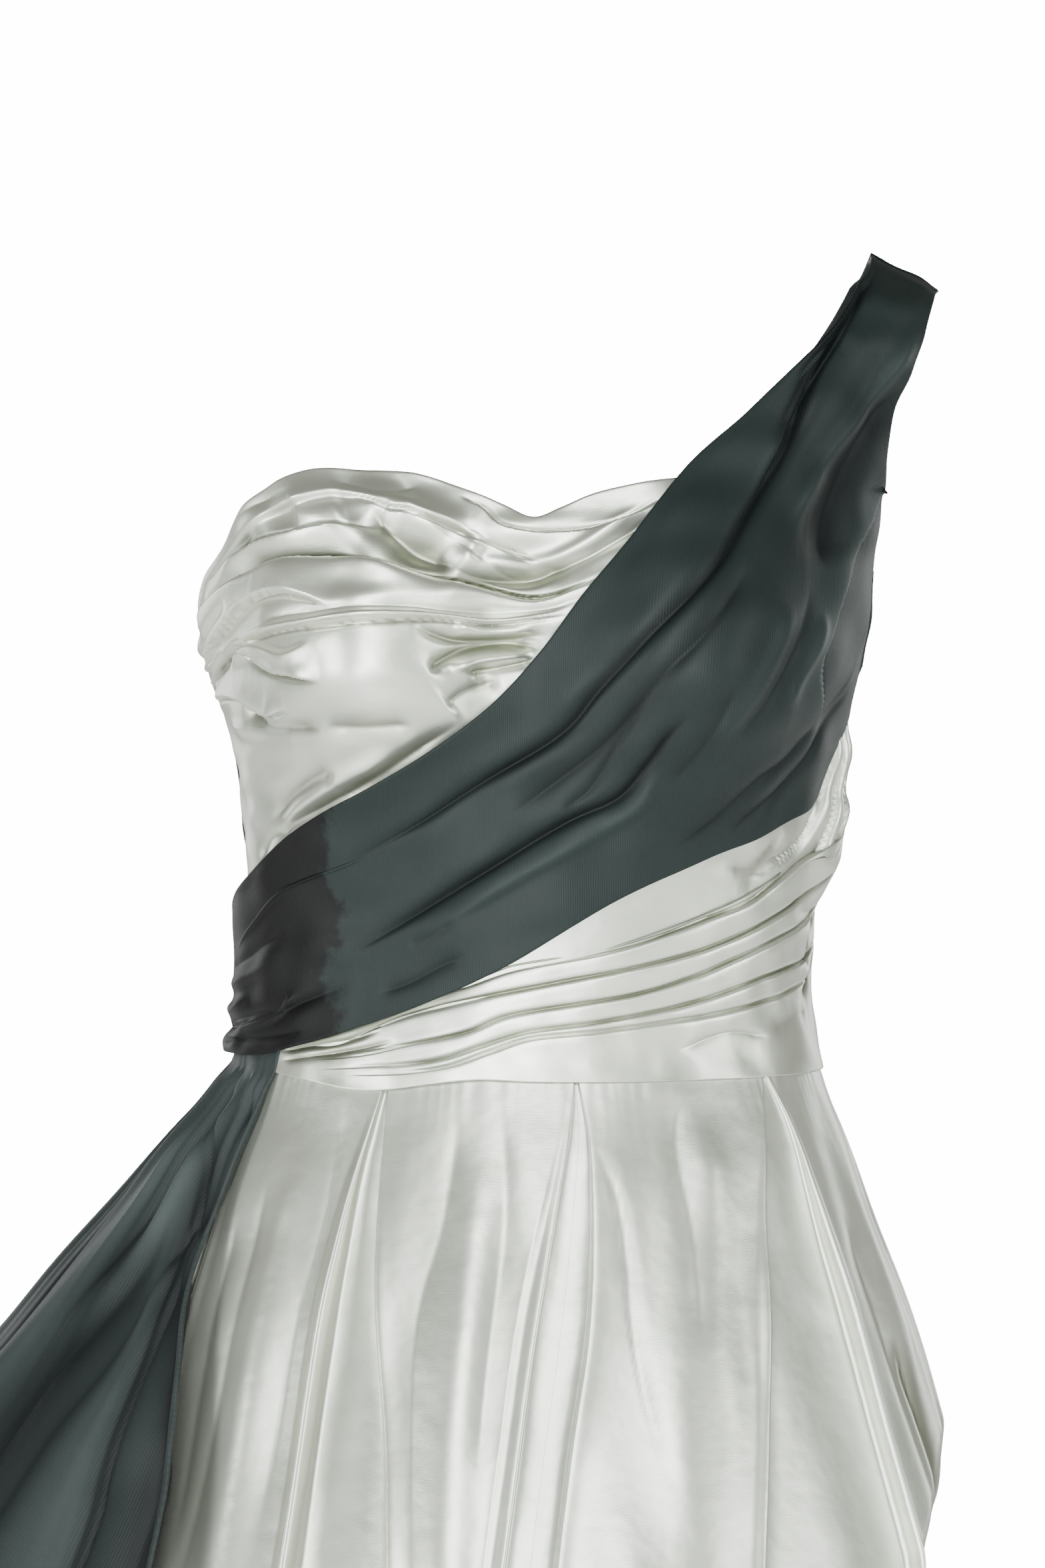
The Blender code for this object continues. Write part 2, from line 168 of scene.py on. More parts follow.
# How softly the skirt meets that limit
SIDE_SOFTNESS = 0.006
# Gathers bunched at the -X side seam of the bust: how proud, how wide in degrees, height, how tall
SIDE_GATHER = 0.005
SIDE_GATHER_WIDTH = 17.0
SIDE_GATHER_Z = 0.182
SIDE_GATHER_HEIGHT = 0.026
# Folds bunched at the +X side of the waist: height, how proud
SIDE_FOLDS = (
    (0.066, 0.0000), (0.078, 0.0060), (0.086, 0.0095), (0.098, 0.0105), (0.113, 0.0118), (0.118, 0.0098),
    (0.126, 0.0096), (0.140, 0.0092), (0.147, 0.0060), (0.156, 0.0040), (0.170, 0.0000),
)
# Upper edge of the bodice: angle, height
NECKLINE = (
    (-180, 0.165), (-150, 0.165), (-120, 0.175), (-100, 0.190), (-88, 0.199), (-82, 0.207),
    (-65, 0.225), (-58, 0.238), (-48, 0.248), (-39, 0.254), (-29, 0.254), (-19, 0.252),
    (-10, 0.245), (-4, 0.239), (1, 0.234), (5, 0.238), (10, 0.243), (18, 0.247),
    (30, 0.252), (50, 0.252), (75, 0.238), (90, 0.224), (120, 0.195), (150, 0.172), (180, 0.165),
)
# Sash edges, shoulder to far waist: share of its length, angle, path up the side
SASH_UPPER = (
    (0.00, 53.5, 0.400), (0.06, 53.0, 0.360), (0.12, 51.0, 0.335), (0.18, 47.5, 0.315),
    (0.25, 41.5, 0.295), (0.31, 35.5, 0.277), (0.38, 26.8, 0.254), (0.44, 18.0, 0.222),
    (0.50, 10.0, 0.200), (0.57, 2.0, 0.178), (0.64, -7.0, 0.159), (0.71, -19.0, 0.142),
    (0.78, -32.0, 0.126), (0.85, -48.0, 0.107), (0.92, -66.0, 0.085), (1.00, -90.0, 0.066),
)
SASH_LOWER = (
    (0.00, 74.0, 0.400), (0.06, 72.0, 0.368), (0.12, 70.5, 0.340), (0.18, 70.0, 0.312),
    (0.25, 72.0, 0.280), (0.31, 80.0, 0.246), (0.38, 90.0, 0.218), (0.43, 90.0, 0.163),
    (0.46, 80.0, 0.144), (0.50, 72.5, 0.126), (0.53, 67.0, 0.115), (0.57, 58.0, 0.109),
    (0.64, 36.0, 0.094), (0.71, 16.0, 0.075), (0.78, -6.0, 0.046), (0.85, -30.0, 0.023),
    (0.92, -58.0, 0.006), (1.00, -90.0, 0.002),
)
# Upper edge of the waist swathe: angle, height
SWATHE_TOP = (
    (-60, 0.013), (-40, 0.022), (-20, 0.036), (-3, 0.046), (14, 0.052), (32, 0.063),
    (52, 0.077), (73, 0.092), (90, 0.102),
)
# Lower edge of the waist swathe: angle, height
SWATHE_LOW = (
    (-60, -0.0025), (-46, -0.0055), (-37, -0.0080), (-28, -0.0080), (-20, -0.0055), (-10, -0.0030),
    (0, -0.0036), (40, -0.0040), (90, -0.0040),
)
# Angle of the swathe's -X end
SWATHE_END = -59.0

# Inverted pleats: angles of the two folded edges at drops below the waist, in degrees
PLEAT_DROPS = (0.000, 0.020, 0.050, 0.080, 0.110, 0.150, 0.200, 0.450, 1.050)
FRONT_PLEATS = {
    1: ((-28.6, -30.0, -31.3, -31.6, -31.6, -31.6, -31.2, -32.5, -34.0),
        (-28.2, -27.6, -26.4, -25.0, -23.0, -20.4, -18.1, -15.0, -13.0)),
    2: ((8.8, 7.6, 5.2, 3.0, 1.0, -0.9, -2.9, -5.0, -7.0),
        (9.3, 10.6, 10.4, 9.5, 8.2, 5.6, 3.2, 4.0, 6.0)),
    3: ((52.7, 49.0, 44.2, 41.0, 38.2, 34.8, 31.0, 29.0, 27.0),
        (53.1, 56.2, 56.8, 57.0, 57.2, 57.6, 57.8, 58.5, 59.5)),
}
# Middles of all the pleats round the waist, and half the opening of a plain one at each drop
PLEAT_ANGLES = (-68.0, -29.4, 9.4, 54.0, 98.0, 140.0, 180.0, 220.0, 256.0)
PLAIN_HALF_OPENING = (0.4, 2.0, 3.6, 4.4, 5.0, 5.6, 6.2, 8.2, 9.5)
# How proud the left and right folded edges stand, in millimetres, at full opening
PLEAT_LIFT = {1: (7.0, 0.9), 2: (2.4, 0.8), 3: (2.0, 4.2)}
PLAIN_LIFT = (3.0, 3.0)
# Gap between a pleat's folded edge and the panel's own columns, in millimetres
PLEAT_EDGE_WIDTH = 9.0
# How deep each front pleat's underlay lies, as a share of the full depth
PLEAT_SHALLOW = {1: 0.9, 2: 0.6, 3: 0.65}
# Rolled edge of a pleat, from the panel inwards: mm back from the fold, share of its lift, mm under
PLEAT_EDGE = (
    (7.0, 0.35, 0.0), (5.0, 0.6, 0.0), (3.4, 0.85, 0.0), (1.8, 1.0, 0.0), (0.7, 0.97, 0.2),
    (0.0, 0.7, 0.8), (0.3, 0.1, 1.8), (1.8, -0.5, 3.2),
)
# Underlay of a pleat: share of the way from the fold to its middle, share of its depth
UNDERLAY = ((0.05, 0.82), (0.35, 0.96), (0.7, 1.0))

# Hip fall: drop, stand-off at the side, front edge's angle, back edge's angle
FALL = (
    (0.000, 0.000, -58.6, -118.0),
    (0.014, 0.006, -59.4, -119.0),
    (0.030, 0.015, -59.4, -120.0),
    (0.060, 0.030, -59.2, -121.0),
    (0.090, 0.046, -57.4, -123.0),
    (0.120, 0.060, -53.6, -124.0),
    (0.160, 0.082, -49.2, -126.0),
    (0.220, 0.102, -45.8, -128.0),
    (0.320, 0.110, -44.0, -130.0),
    (0.480, 0.100, -43.0, -132.0),
    (0.720, 0.070, -42.5, -134.0),
    (1.000, 0.035, -42.0, -135.0),
)
# Drop of the fall's hem
FALL_LENGTH = 0.99
# Angles where the fall stands out most, where its layers part, and how far round the inner one starts
FALL_MIDDLE = -92.0
FALL_SPLIT = -93.0
FALL_OVERLAP = 1.5
FALL_INNER_START = -80.0

# Creases: kind, height in mm, reach to the left and right of its direction in mm, then its points
BUST_CREASES = (
    ("valley", 1.8, 4, 3, ((-35, 250), (-30, 247), (-26, 244), (-22, 245), (-18, 248))),
    ("ridge", 3.0, 7, 1.4, (
        (-62, 226), (-50, 237), (-41, 242), (-34, 245), (-29, 243), (-22, 237), (-13, 232), (-8, 225),
        (1, 217))),
    ("step", 2.0, 1.0, 5, ((-33, 244), (-25, 237), (-20, 233), (-11, 226), (-5, 221), (3, 214))),
    ("step", 3.4, 1.0, 7, (
        (-86, 197), (-78, 206), (-68, 214), (-54, 224), (-42, 228), (-34, 230), (-27, 229))),
    ("step", 4.6, 1.0, 9, (
        (-88, 186), (-80, 193), (-72, 199), (-61, 207), (-50, 215), (-38, 217), (-27, 215), (-17, 209),
        (-9, 205), (1, 200), (10, 206), (15, 212))),
    ("valley", 2.6, 5, 2.5, (
        (-72, 200), (-61, 208), (-50, 216), (-38, 218), (-27, 216), (-17, 210), (-9, 206), (1, 201),
        (10, 207))),
    ("valley", 4.0, 6, 7, ((-28, 238), (-24, 228), (-19, 220), (-12, 213))),
    ("ridge", 2.6, 6, 6, ((-24, 241), (-19, 233), (-13, 224), (-8, 217))),
    ("ridge", 1.8, 7, 5, ((-44, 236), (-38, 235), (-32, 237))),
    ("valley", 1.6, 3, 4, ((-14, 232), (-9, 228), (-5, 222), (1, 215), (8, 212))),
    ("valley", 2.4, 2.5, 4, (
        (-18, 218), (-11, 211), (-4, 208), (1, 209), (5, 213), (11, 219), (16, 226), (20, 233), (25, 244))),
    ("ridge", 1.8, 3, 3, ((-14, 220), (-6, 215), (2, 216), (8, 221), (14, 229), (20, 240))),
    ("valley", 1.4, 3, 4, ((-18, 232), (-13, 225), (-9, 218), (-4, 211), (3, 206))),
    ("step", 2.4, 0.8, 6, ((-12, 243), (-8, 238), (-5, 231), (1, 228), (9, 229), (16, 233), (24, 243))),
    ("step", 4.0, 0.8, 10, (
        (-36, 197), (-41, 201), (-46, 203), (-51, 202), (-56, 199), (-61, 193), (-66, 187), (-76, 178),
        (-86, 172))),
    ("step", 3.8, 0.9, 12, (
        (8, 195), (1, 193), (-7, 191), (-18, 193), (-30, 192), (-40, 190), (-48, 188), (-56, 185),
        (-64, 180), (-74, 173), (-88, 166))),
    ("valley", 2.6, 3, 1.6, (
        (-52, 191), (-43, 194), (-34, 196), (-24, 197), (-15, 195), (-5, 195), (4, 197), (12, 203))),
    ("ridge", 1.6, 1.6, 1.2, ((-60, 184), (-48, 189), (-36, 192), (-22, 194), (-7, 192), (4, 194))),
    ("valley", 3.0, 3, 2, ((-22, 191), (-14, 184), (-6, 184), (4, 186))),
    ("ridge", 2.2, 2, 3, ((-14, 191), (-8, 187), (1, 188))),
    ("valley", 3.2, 3, 2.4, ((-19, 170), (-16, 175), (-11, 180), (-4, 182), (3, 180))),
    ("valley", 2.6, 2.4, 2.4, ((-12, 170), (-6, 172), (2, 176))),
    ("ridge", 2.0, 2.2, 2.2, ((-15, 172), (-8, 176), (1, 178))),
    ("valley", 2.0, 5, 5, ((-16, 156), (-12, 162), (-5, 167))),
    ("step", 3.4, 0.9, 7, ((-40, 167), (-46, 169), (-52, 170), (-57, 173), (-60, 178), (-61, 184))),
    ("valley", 2.6, 5, 1.6, ((-60, 180), (-58, 174), (-52, 170), (-42, 167))),
    ("ridge", 2.2, 1.4, 4, ((-72, 170), (-66, 177), (-60, 182), (-55, 181), (-48, 178), (-41, 183))),
    ("valley", 2.8, 2, 4, ((-88, 164), (-78, 169), (-72, 174), (-63, 178))),
    ("step", 3.0, 0.8, 7, ((-50, 156), (-56, 153), (-62, 156), (-67, 159), (-76, 160), (-88, 157))),
    ("valley", 3.0, 2.4, 3, ((-68, 156), (-64, 151), (-59, 147), (-50, 147), (-42, 147))),
    ("ridge", 1.6, 2, 4, ((-80, 148), (-66, 146), (-54, 147), (-41, 145))),
    ("valley", 1.5, 4, 3, ((-42, 148), (-32, 148), (-22, 149))),
    ("valley", 2.2, 4, 5, ((-64, 105), (-53, 118), (-46, 125), (-40, 129))),
    ("ridge", 2.0, 4, 4, ((-60, 104), (-48, 117), (-38, 127), (-26, 139))),
    ("valley", 2.4, 4, 4, ((-60, 99), (-53, 107), (-44, 114), (-32, 126), (-22, 138), (-12, 152))),
    ("valley", 1.6, 3, 3, ((-72, 88), (-64, 98), (-54, 103))),
    ("valley", 2.8, 1.6, 4, ((-89, 190), (-76, 207), (-64, 220), (-52, 232))),
    ("valley", 2.0, 1.4, 4, ((-89, 195), (-80, 210), (-68, 226), (-54, 240), (-40, 247))),
    ("valley", 2.4, 1.4, 4, ((-89, 179), (-77, 184), (-68, 192), (-60, 200))),
    ("step", 1.8, 1.2, 6, ((38, 62), (52, 82), (68, 95), (73, 108), (77, 126), (78, 150), (78, 185))),
    ("step", 1.8, 1.2, 6, ((58, 72), (75, 88), (79, 106), (82, 132), (82, 155), (82, 185))),
    ("step", 1.8, 1.2, 5, ((66, 72), (79, 90), (85, 104), (88, 122), (88, 150), (88, 185))),
    ("valley", 2.4, 1.4, 2, ((40, 66), (52, 81), (68, 94), (73, 107), (76, 126), (77, 150), (77, 185))),
    ("valley", 2.4, 1.4, 2, ((60, 76), (74, 87), (78, 106), (81, 132), (81, 155), (81, 185))),
    ("valley", 2.0, 2.5, 3, ((44, 88), (50, 86), (56, 92), (62, 102))),
)
SWATHE_CREASES = (
    ("step", 1.5, 0.45, 16, (
        (-20, 34), (-14, 36), (-3, 44), (12, 50), (24, 56), (38, 65), (50, 72), (62, 83), (76, 94),
        (92, 106))),
    ("step", 1.5, 0.45, 14, (
        (-44, 8), (-32, 18), (-23, 25), (-9, 32), (5, 38), (20, 44), (38, 52), (58, 64), (72, 73),
        (92, 90))),
    ("step", 1.5, 0.45, 13, (
        (-48, 3), (-34, 6), (-22, 12), (-12, 17), (-4, 24), (10, 29), (22, 33), (33, 39), (54, 52),
        (78, 63), (92, 72))),
    ("step", 1.3, 0.45, 12, (
        (-46, -1), (-26, 2), (-17, 5), (-9, 11), (0, 17), (14, 21), (33, 28), (54, 38), (76, 45),
        (92, 54))),
    ("step", 1.3, 0.45, 14, (
        (-38, -3), (-26, -2), (-17, 1), (-8, 8), (0, 14), (14, 17), (30, 21), (39, 23), (62, 30),
        (92, 42))),
    ("valley", 1.8, 0.6, 0.8, (
        (-30, 30), (-14, 37), (-3, 45), (12, 51), (24, 57), (38, 66), (50, 73), (62, 84), (76, 95),
        (96, 108))),
    ("valley", 1.8, 0.6, 0.8, (
        (-40, 14), (-23, 25), (-9, 33), (5, 39), (20, 45), (38, 53), (58, 65), (72, 74), (96, 93))),
    ("valley", 1.8, 0.6, 0.8, (
        (-44, 5), (-22, 13), (-12, 18), (-4, 25), (10, 30), (22, 34), (33, 40), (54, 53), (78, 64),
        (96, 75))),
    ("valley", 1.8, 0.6, 0.8, (
        (-40, 1), (-26, 3), (-17, 6), (-9, 12), (0, 18), (14, 22), (33, 29), (54, 39), (76, 46), (96, 57))),
    ("valley", 1.6, 0.6, 0.8, (
        (-34, -2), (-17, 2), (-8, 9), (0, 15), (14, 18), (30, 22), (39, 24), (62, 31), (96, 44))),
    ("valley", 1.4, 1.0, 3, ((6, 62), (14, 68), (22, 70), (30, 72))),
    ("valley", 1.0, 2.5, 3, ((42, 82), (48, 82), (54, 88), (64, 100))),
    ("valley", 2.2, 2.5, 2.5, ((-20, 38), (-16, 42), (-13, 47), (-12, 54))),
    ("ridge", 0.9, 6, 6, ((30, 70), (33, 78), (38, 84))),
    ("valley", 1.2, 1.2, 3, ((30, 8), (38, 14), (46, 16), (56, 12))),
    ("valley", 0.9, 6, 5, ((56, 14), (66, 20), (76, 22))),
    ("valley", 1.5, 1.6, 2, ((-57, 10), (-50, 15), (-42, 20), (-34, 25))),
    ("valley", 1.5, 1.2, 1.6, ((-58, 6), (-50, 9), (-40, 12), (-30, 18))),
    ("valley", 1.3, 1.2, 1.6, ((-58, 2), (-48, 5), (-36, 9), (-26, 14))),
    ("ridge", 1.2, 1.2, 1.4, ((-58, 8), (-52, 12), (-44, 17))),
    ("valley", 2.6, 1.2, 3.5, ((76, 40), (76, 48), (77, 56), (80, 61), (86, 63))),
    ("valley", 2.4, 1.2, 3, ((73, 30), (77, 34), (81, 40), (85, 46))),
)
SASH_CREASES = (
    ("step", 2.4, 1.0, 9, (
        (54, 372), (52, 337), (46, 289), (37, 230), (32, 209), (23, 186), (14, 165), (6, 146), (-9, 127),
        (-26, 105), (-40, 89))),
    ("valley", 8.0, 1.8, 3.5, (
        (54, 372), (53, 352), (52, 337), (48, 312), (46, 289), (44, 262), (37, 230), (32, 209), (23, 186),
        (14, 165), (6, 146), (-9, 127), (-26, 105), (-40, 89))),
    ("ridge", 1.4, 0.6, 0.6, ((-30, 98), (-38, 90), (-49, 82), (-56, 76), (-68, 61), (-80, 48))),
    ("valley", 4.0, 7, 4, ((50, 318), (46, 303), (44, 285), (41, 262))),
    ("ridge", 4.0, 6, 5, ((68, 330), (64, 303), (61, 284), (55, 264), (50, 244), (46, 219))),
    ("valley", 8.5, 12, 12, ((72, 300), (64, 278), (60, 258), (57, 240), (56, 225), (57, 212))),
    ("step", 3.2, 0.8, 12, (
        (84, 262), (76, 242), (70, 228), (65, 210), (61, 192), (58, 178), (61, 162), (64, 150))),
    ("valley", 4.2, 2.5, 4, ((38, 212), (36, 200), (31, 184), (26, 171), (16, 145), (4, 124), (-4, 112))),
    ("step", 2.4, 1.0, 9, (
        (31, 160), (27, 148), (23, 135), (17, 120), (7, 109), (-7, 90), (-22, 70), (-38, 50))),
    ("valley", 8.0, 1.8, 3.5, (
        (31, 160), (27, 148), (23, 135), (17, 120), (7, 109), (-7, 90), (-22, 70), (-38, 50))),
    ("ridge", 2.4, 3, 5, ((26, 136), (20, 116), (9, 100), (-5, 82), (-20, 62))),
    ("valley", 3.0, 2, 2.5, ((24, 164), (18, 145), (12, 124), (6, 114))),
    ("valley", 2.2, 2, 3, ((38, 170), (36, 155), (32, 140), (28, 128))),
    ("ridge", 2.0, 4, 5, ((48, 200), (45, 177), (40, 160), (34, 146))),
    ("valley", 3.6, 2.5, 3, ((63, 154), (55, 138), (46, 128), (37, 110), (28, 98))),
    ("valley", 3.8, 2.5, 3, ((82, 170), (67, 150), (60, 134), (48, 116), (40, 104))),
    ("valley", 2.6, 2, 3, ((88, 196), (80, 176), (70, 160), (60, 146))),
    ("valley", 2.4, 3, 3, ((53, 206), (50, 180), (45, 160), (40, 148))),
    ("ridge", 2.0, 3, 3, ((57, 196), (54, 176), (50, 158))),
    ("valley", 2.8, 2.5, 3, ((-12, 52), (-18, 46), (-24, 39), (-31, 34))),
    ("valley", 1.4, 3, 3, ((-14, 67), (-19, 60), (-24, 55))),
    ("valley", 3.0, 2, 3, ((-89, 15), (-78, 18), (-66, 22), (-56, 24), (-48, 30), (-36, 39))),
    ("ridge", 2.2, 2, 2, ((-80, 14), (-66, 17), (-56, 24), (-52, 34))),
    ("valley", 2.6, 1.6, 2.4, ((-89, 6), (-74, 9), (-60, 12), (-48, 16))),
    ("valley", 2.0, 2.4, 3, ((-88, 40), (-76, 44), (-64, 52), (-54, 60))),
    ("ridge", 3.2, 3.5, 3.5, ((-98, 22), (-90, 21), (-80, 22), (-70, 28))),
    ("ridge", 3.0, 4.5, 4.5, ((-98, 5), (-90, 6), (-80, 6), (-70, 9))),
    ("ridge", 1.6, 3, 3, ((-98, 34), (-88, 33), (-76, 36), (-60, 44))),
    ("valley", 3.4, 1.2, 1.2, ((-98, 13), (-88, 13), (-78, 15), (-66, 20))),
)
SKIRT_CREASES = (
    ("valley", 2.6, 7, 7, ((-57, 60), (-56, 100), (-54, 150), (-51, 210))),
    ("valley", 1.8, 6, 6, ((-51, 40), (-50, 94), (-49, 141), (-48, 240))),
    ("ridge", 2.6, 9, 9, ((-44, 20), (-43, 90), (-42, 170), (-41, 260))),
    ("valley", 2.2, 7, 6, ((-38, 10), (-36, 50), (-37, 110), (-37, 210))),
    ("valley", 2.0, 8, 8, ((-13, 10), (-14, 60), (-17, 110), (-14, 220))),
    ("ridge", 1.8, 8, 8, ((-8, 30), (-9, 90), (-10, 160), (-9, 260))),
    ("valley", 1.8, 7, 7, ((-5, 10), (-4, 59), (-6, 117), (-7, 170))),
    ("step", 0.9, 7, 14, ((14, 26), (17, 48), (18, 75), (18, 100), (19, 130), (22, 175))),
    ("valley", 1.8, 8, 8, ((30, 8), (27, 33), (27, 70), (25, 120))),
    ("ridge", 2.2, 10, 10, ((34, 14), (32, 60), (29, 130), (25, 240))),
    ("valley", 2.0, 5, 5, ((54, 96), (52, 125), (53, 170), (55, 260))),
    ("valley", 2.2, 6, 6, ((65, 60), (66, 110), (68, 180), (70, 300))),
    ("valley", 2.2, 6, 6, ((78, 30), (80, 100), (82, 180), (84, 300))),
)
# Hollow under the side panel, where the skirt hangs in: a shallow dent with painted shadow in it
SKIRT_HOLLOWS = (
    ("valley", 5.0, 5, 12, ((69, 112), (71, 146), (72, 180), (71, 206), (67, 236))),
)
FALL_CREASES = (
    ("step", 4.0, 3.5, 14, (
        (-56, 500), (-57, 230), (-59, 165), (-61, 125), (-63, 95), (-66, 66), (-70, 36), (-74, 14))),
    ("valley", 7.0, 2.8, 6, (
        (-74, 14), (-70, 36), (-66, 66), (-63, 95), (-61, 125), (-59, 165), (-57, 230), (-56, 500))),
    ("valley", 7.0, 3, 2, (
        (-60.5, 74), (-58.5, 100), (-55.5, 127), (-52.0, 160), (-48.6, 220), (-47, 320), (-46, 900))),
    ("valley", 5.0, 12, 12, ((-69, 60), (-70, 100), (-72, 140), (-74, 220), (-76, 400))),
    ("valley", 3.0, 5, 7, ((-66, 84), (-66, 115), (-67, 165), (-68, 260))),
    ("valley", 4.0, 2.5, 3, ((-63, 8), (-62, 30), (-62, 50), (-63, 80))),
    ("valley", 4.0, 2.5, 3, ((-67, 6), (-66, 30), (-65, 60), (-65, 100))),
    ("valley", 3.6, 3, 4, ((-71, 6), (-73, 30), (-74, 65), (-76, 110))),
    ("ridge", 3.0, 5, 5, ((-69, 8), (-70, 36), (-71, 70), (-72, 120))),
    ("ridge", 4.0, 8, 8, ((-78, 20), (-79, 60), (-80, 120), (-81, 240))),
    ("valley", 6.0, 8, 10, ((-84, 40), (-84, 120), (-83, 200), (-81, 400), (-78, 900))),
    ("valley", 4.0, 8, 8, ((-53, 150), (-51, 200), (-50, 300), (-49, 900))),
)


def smooth(low, high, value):
    """Ramp from 0 at low to 1 at high."""
    share = np.clip((value - low) / (high - low), 0.0, 1.0)
    return share * share * (3.0 - 2.0 * share)


def read_curve(table, column, key):
    """Smooth curve through one column of a short table, read at key."""
    keys = np.array([row[0] for row in table], dtype=float)
    values = np.array([row[column] for row in table], dtype=float)
    slopes = np.gradient(values, keys)
    key = np.clip(key, keys[0], keys[-1])
    i = np.clip(np.searchsorted(keys, key) - 1, 0, len(keys) - 2)
    step = keys[i + 1] - keys[i]
    t = (key - keys[i]) / step
    start = (2 * t**3 - 3 * t**2 + 1) * values[i] + (t**3 - 2 * t**2 + t) * step * slopes[i]
    end = (3 * t**2 - 2 * t**3) * values[i + 1] + (t**3 - t**2) * step * slopes[i + 1]
    return start + end


def spaced(*stops):
    """Values from stops of (start, step) up to a last plain number, so that spacing can vary."""
    values = []
    for (start, step), following in zip(stops[:-1], stops[1:]):
        end = following[0] if isinstance(following, tuple) else following
        count = max(1, round((end - start) / step))
        values += [start + (end - start) * i / count for i in range(count)]
    return np.array(values + [stops[-1]])


def figure_points(angle, path):
    """Points on the smooth general figure."""
    turn = np.radians(angle)
    side = np.sin(turn)
    facing = np.cos(turn)
    depth = np.where(facing > 0, read_curve(FIGURE, 3, path), read_curve(FIGURE, 4, path))
    squareness = 1.0 - 0.28 * smooth(0.20, 0.30, path)
    x = read_curve(FIGURE, 2, path) * side
    z = read_curve(FIGURE, 1, path)
    y = -np.sign(facing) * depth * np.abs(facing) ** squareness
    tall = np.where(z > BUST_Z, 0.062, 0.050)
    cups = sum(np.exp(-((x - s * BUST_X) / BUST_WIDTH) ** 2 - ((z - BUST_Z) / tall) ** 2) for s in (-1, 1))
    y = y - np.where(facing > 0, BUST_DEPTH * cups * np.clip(facing * 1.6, 0, 1), 0.0)
    z = z - smooth(0.30, 0.39, path) * SHOULDER_SLOPE * np.maximum(x - SHOULDER_INNER_X, 0.0)
    return np.stack([x, y, z], axis=-1)


def figure_normals(angle, path):
    """Unit vectors out of the figure."""
    across = figure_points(angle + 0.4, path) - figure_points(angle - 0.4, path)
    upper = np.minimum(path + 0.002, FIGURE_TOP)
    up = figure_points(angle, upper) - figure_points(angle, upper - 0.004)
    normal = np.cross(across, up)
    return normal / np.linalg.norm(normal, axis=-1, keepdims=True)


def on_figure(angle, path, offset):
    """Points that lie offset outside the figure."""
    path = np.minimum(path, FIGURE_TOP - 0.0001)
    return figure_points(angle, path) + figure_normals(angle, path) * np.asarray(offset)[..., None]


def held_in(x, drop):
    """Sideways places of the skirt, held in at its +X side."""
    limit = read_curve(SIDE_LIMIT, 1, drop)
    past = np.maximum(x - (limit - SIDE_SOFTNESS), 0.0)
    return np.where(past > 0.0, limit - SIDE_SOFTNESS * np.exp(-past / SIDE_SOFTNESS), x)


def side_gather(angle, height):
    """How far the bunched gathers at the -X side seam stand out."""
    turn = ((angle + 90.0) / SIDE_GATHER_WIDTH) ** 2
    return SIDE_GATHER * np.exp(-turn - ((height - SIDE_GATHER_Z) / SIDE_GATHER_HEIGHT) ** 2)


def side_folds(angle, height):
    """Stand-off of the folds bunched at the +X side of the waist."""
    place = smooth(66.0, 84.0, angle) * (1.0 - smooth(91.0, 98.0, angle))
    inside = (height > SIDE_FOLDS[0][0]) & (height < SIDE_FOLDS[-1][0])
    return np.where(inside, place * read_curve(SIDE_FOLDS, 1, height), 0.0)


def skirt_points(angle, drop, out):
    """Points of the skirt's smooth form, moved out by a distance."""
    turn = np.radians(angle)
    x = held_in(read_curve(SKIRT, 1, drop) * np.sin(turn), drop) + out * np.sin(turn)
    front = read_curve(SKIRT, 2, drop) + out
    back = read_curve(SKIRT, 3, drop) + out
    depth = np.where(np.cos(turn) > 0, front, back)
    return np.stack([x, -depth * np.cos(turn), -drop + 0 * turn], axis=-1)


def undulation(x, y, size, seed, waves=14):
    """Soft uneven field, about -1 to 1, with bumps of a given size."""
    dice = np.random.default_rng(seed)
    total = np.zeros_like(x)
    for _ in range(waves):
        turn = dice.uniform(0.0, math.tau)
        length = size * dice.uniform(1.2, 3.4)
        start = dice.uniform(0.0, math.tau)
        total += np.sin(math.tau * (x * math.cos(turn) + y * math.sin(turn)) / length + start)
    return total / math.sqrt(waves)


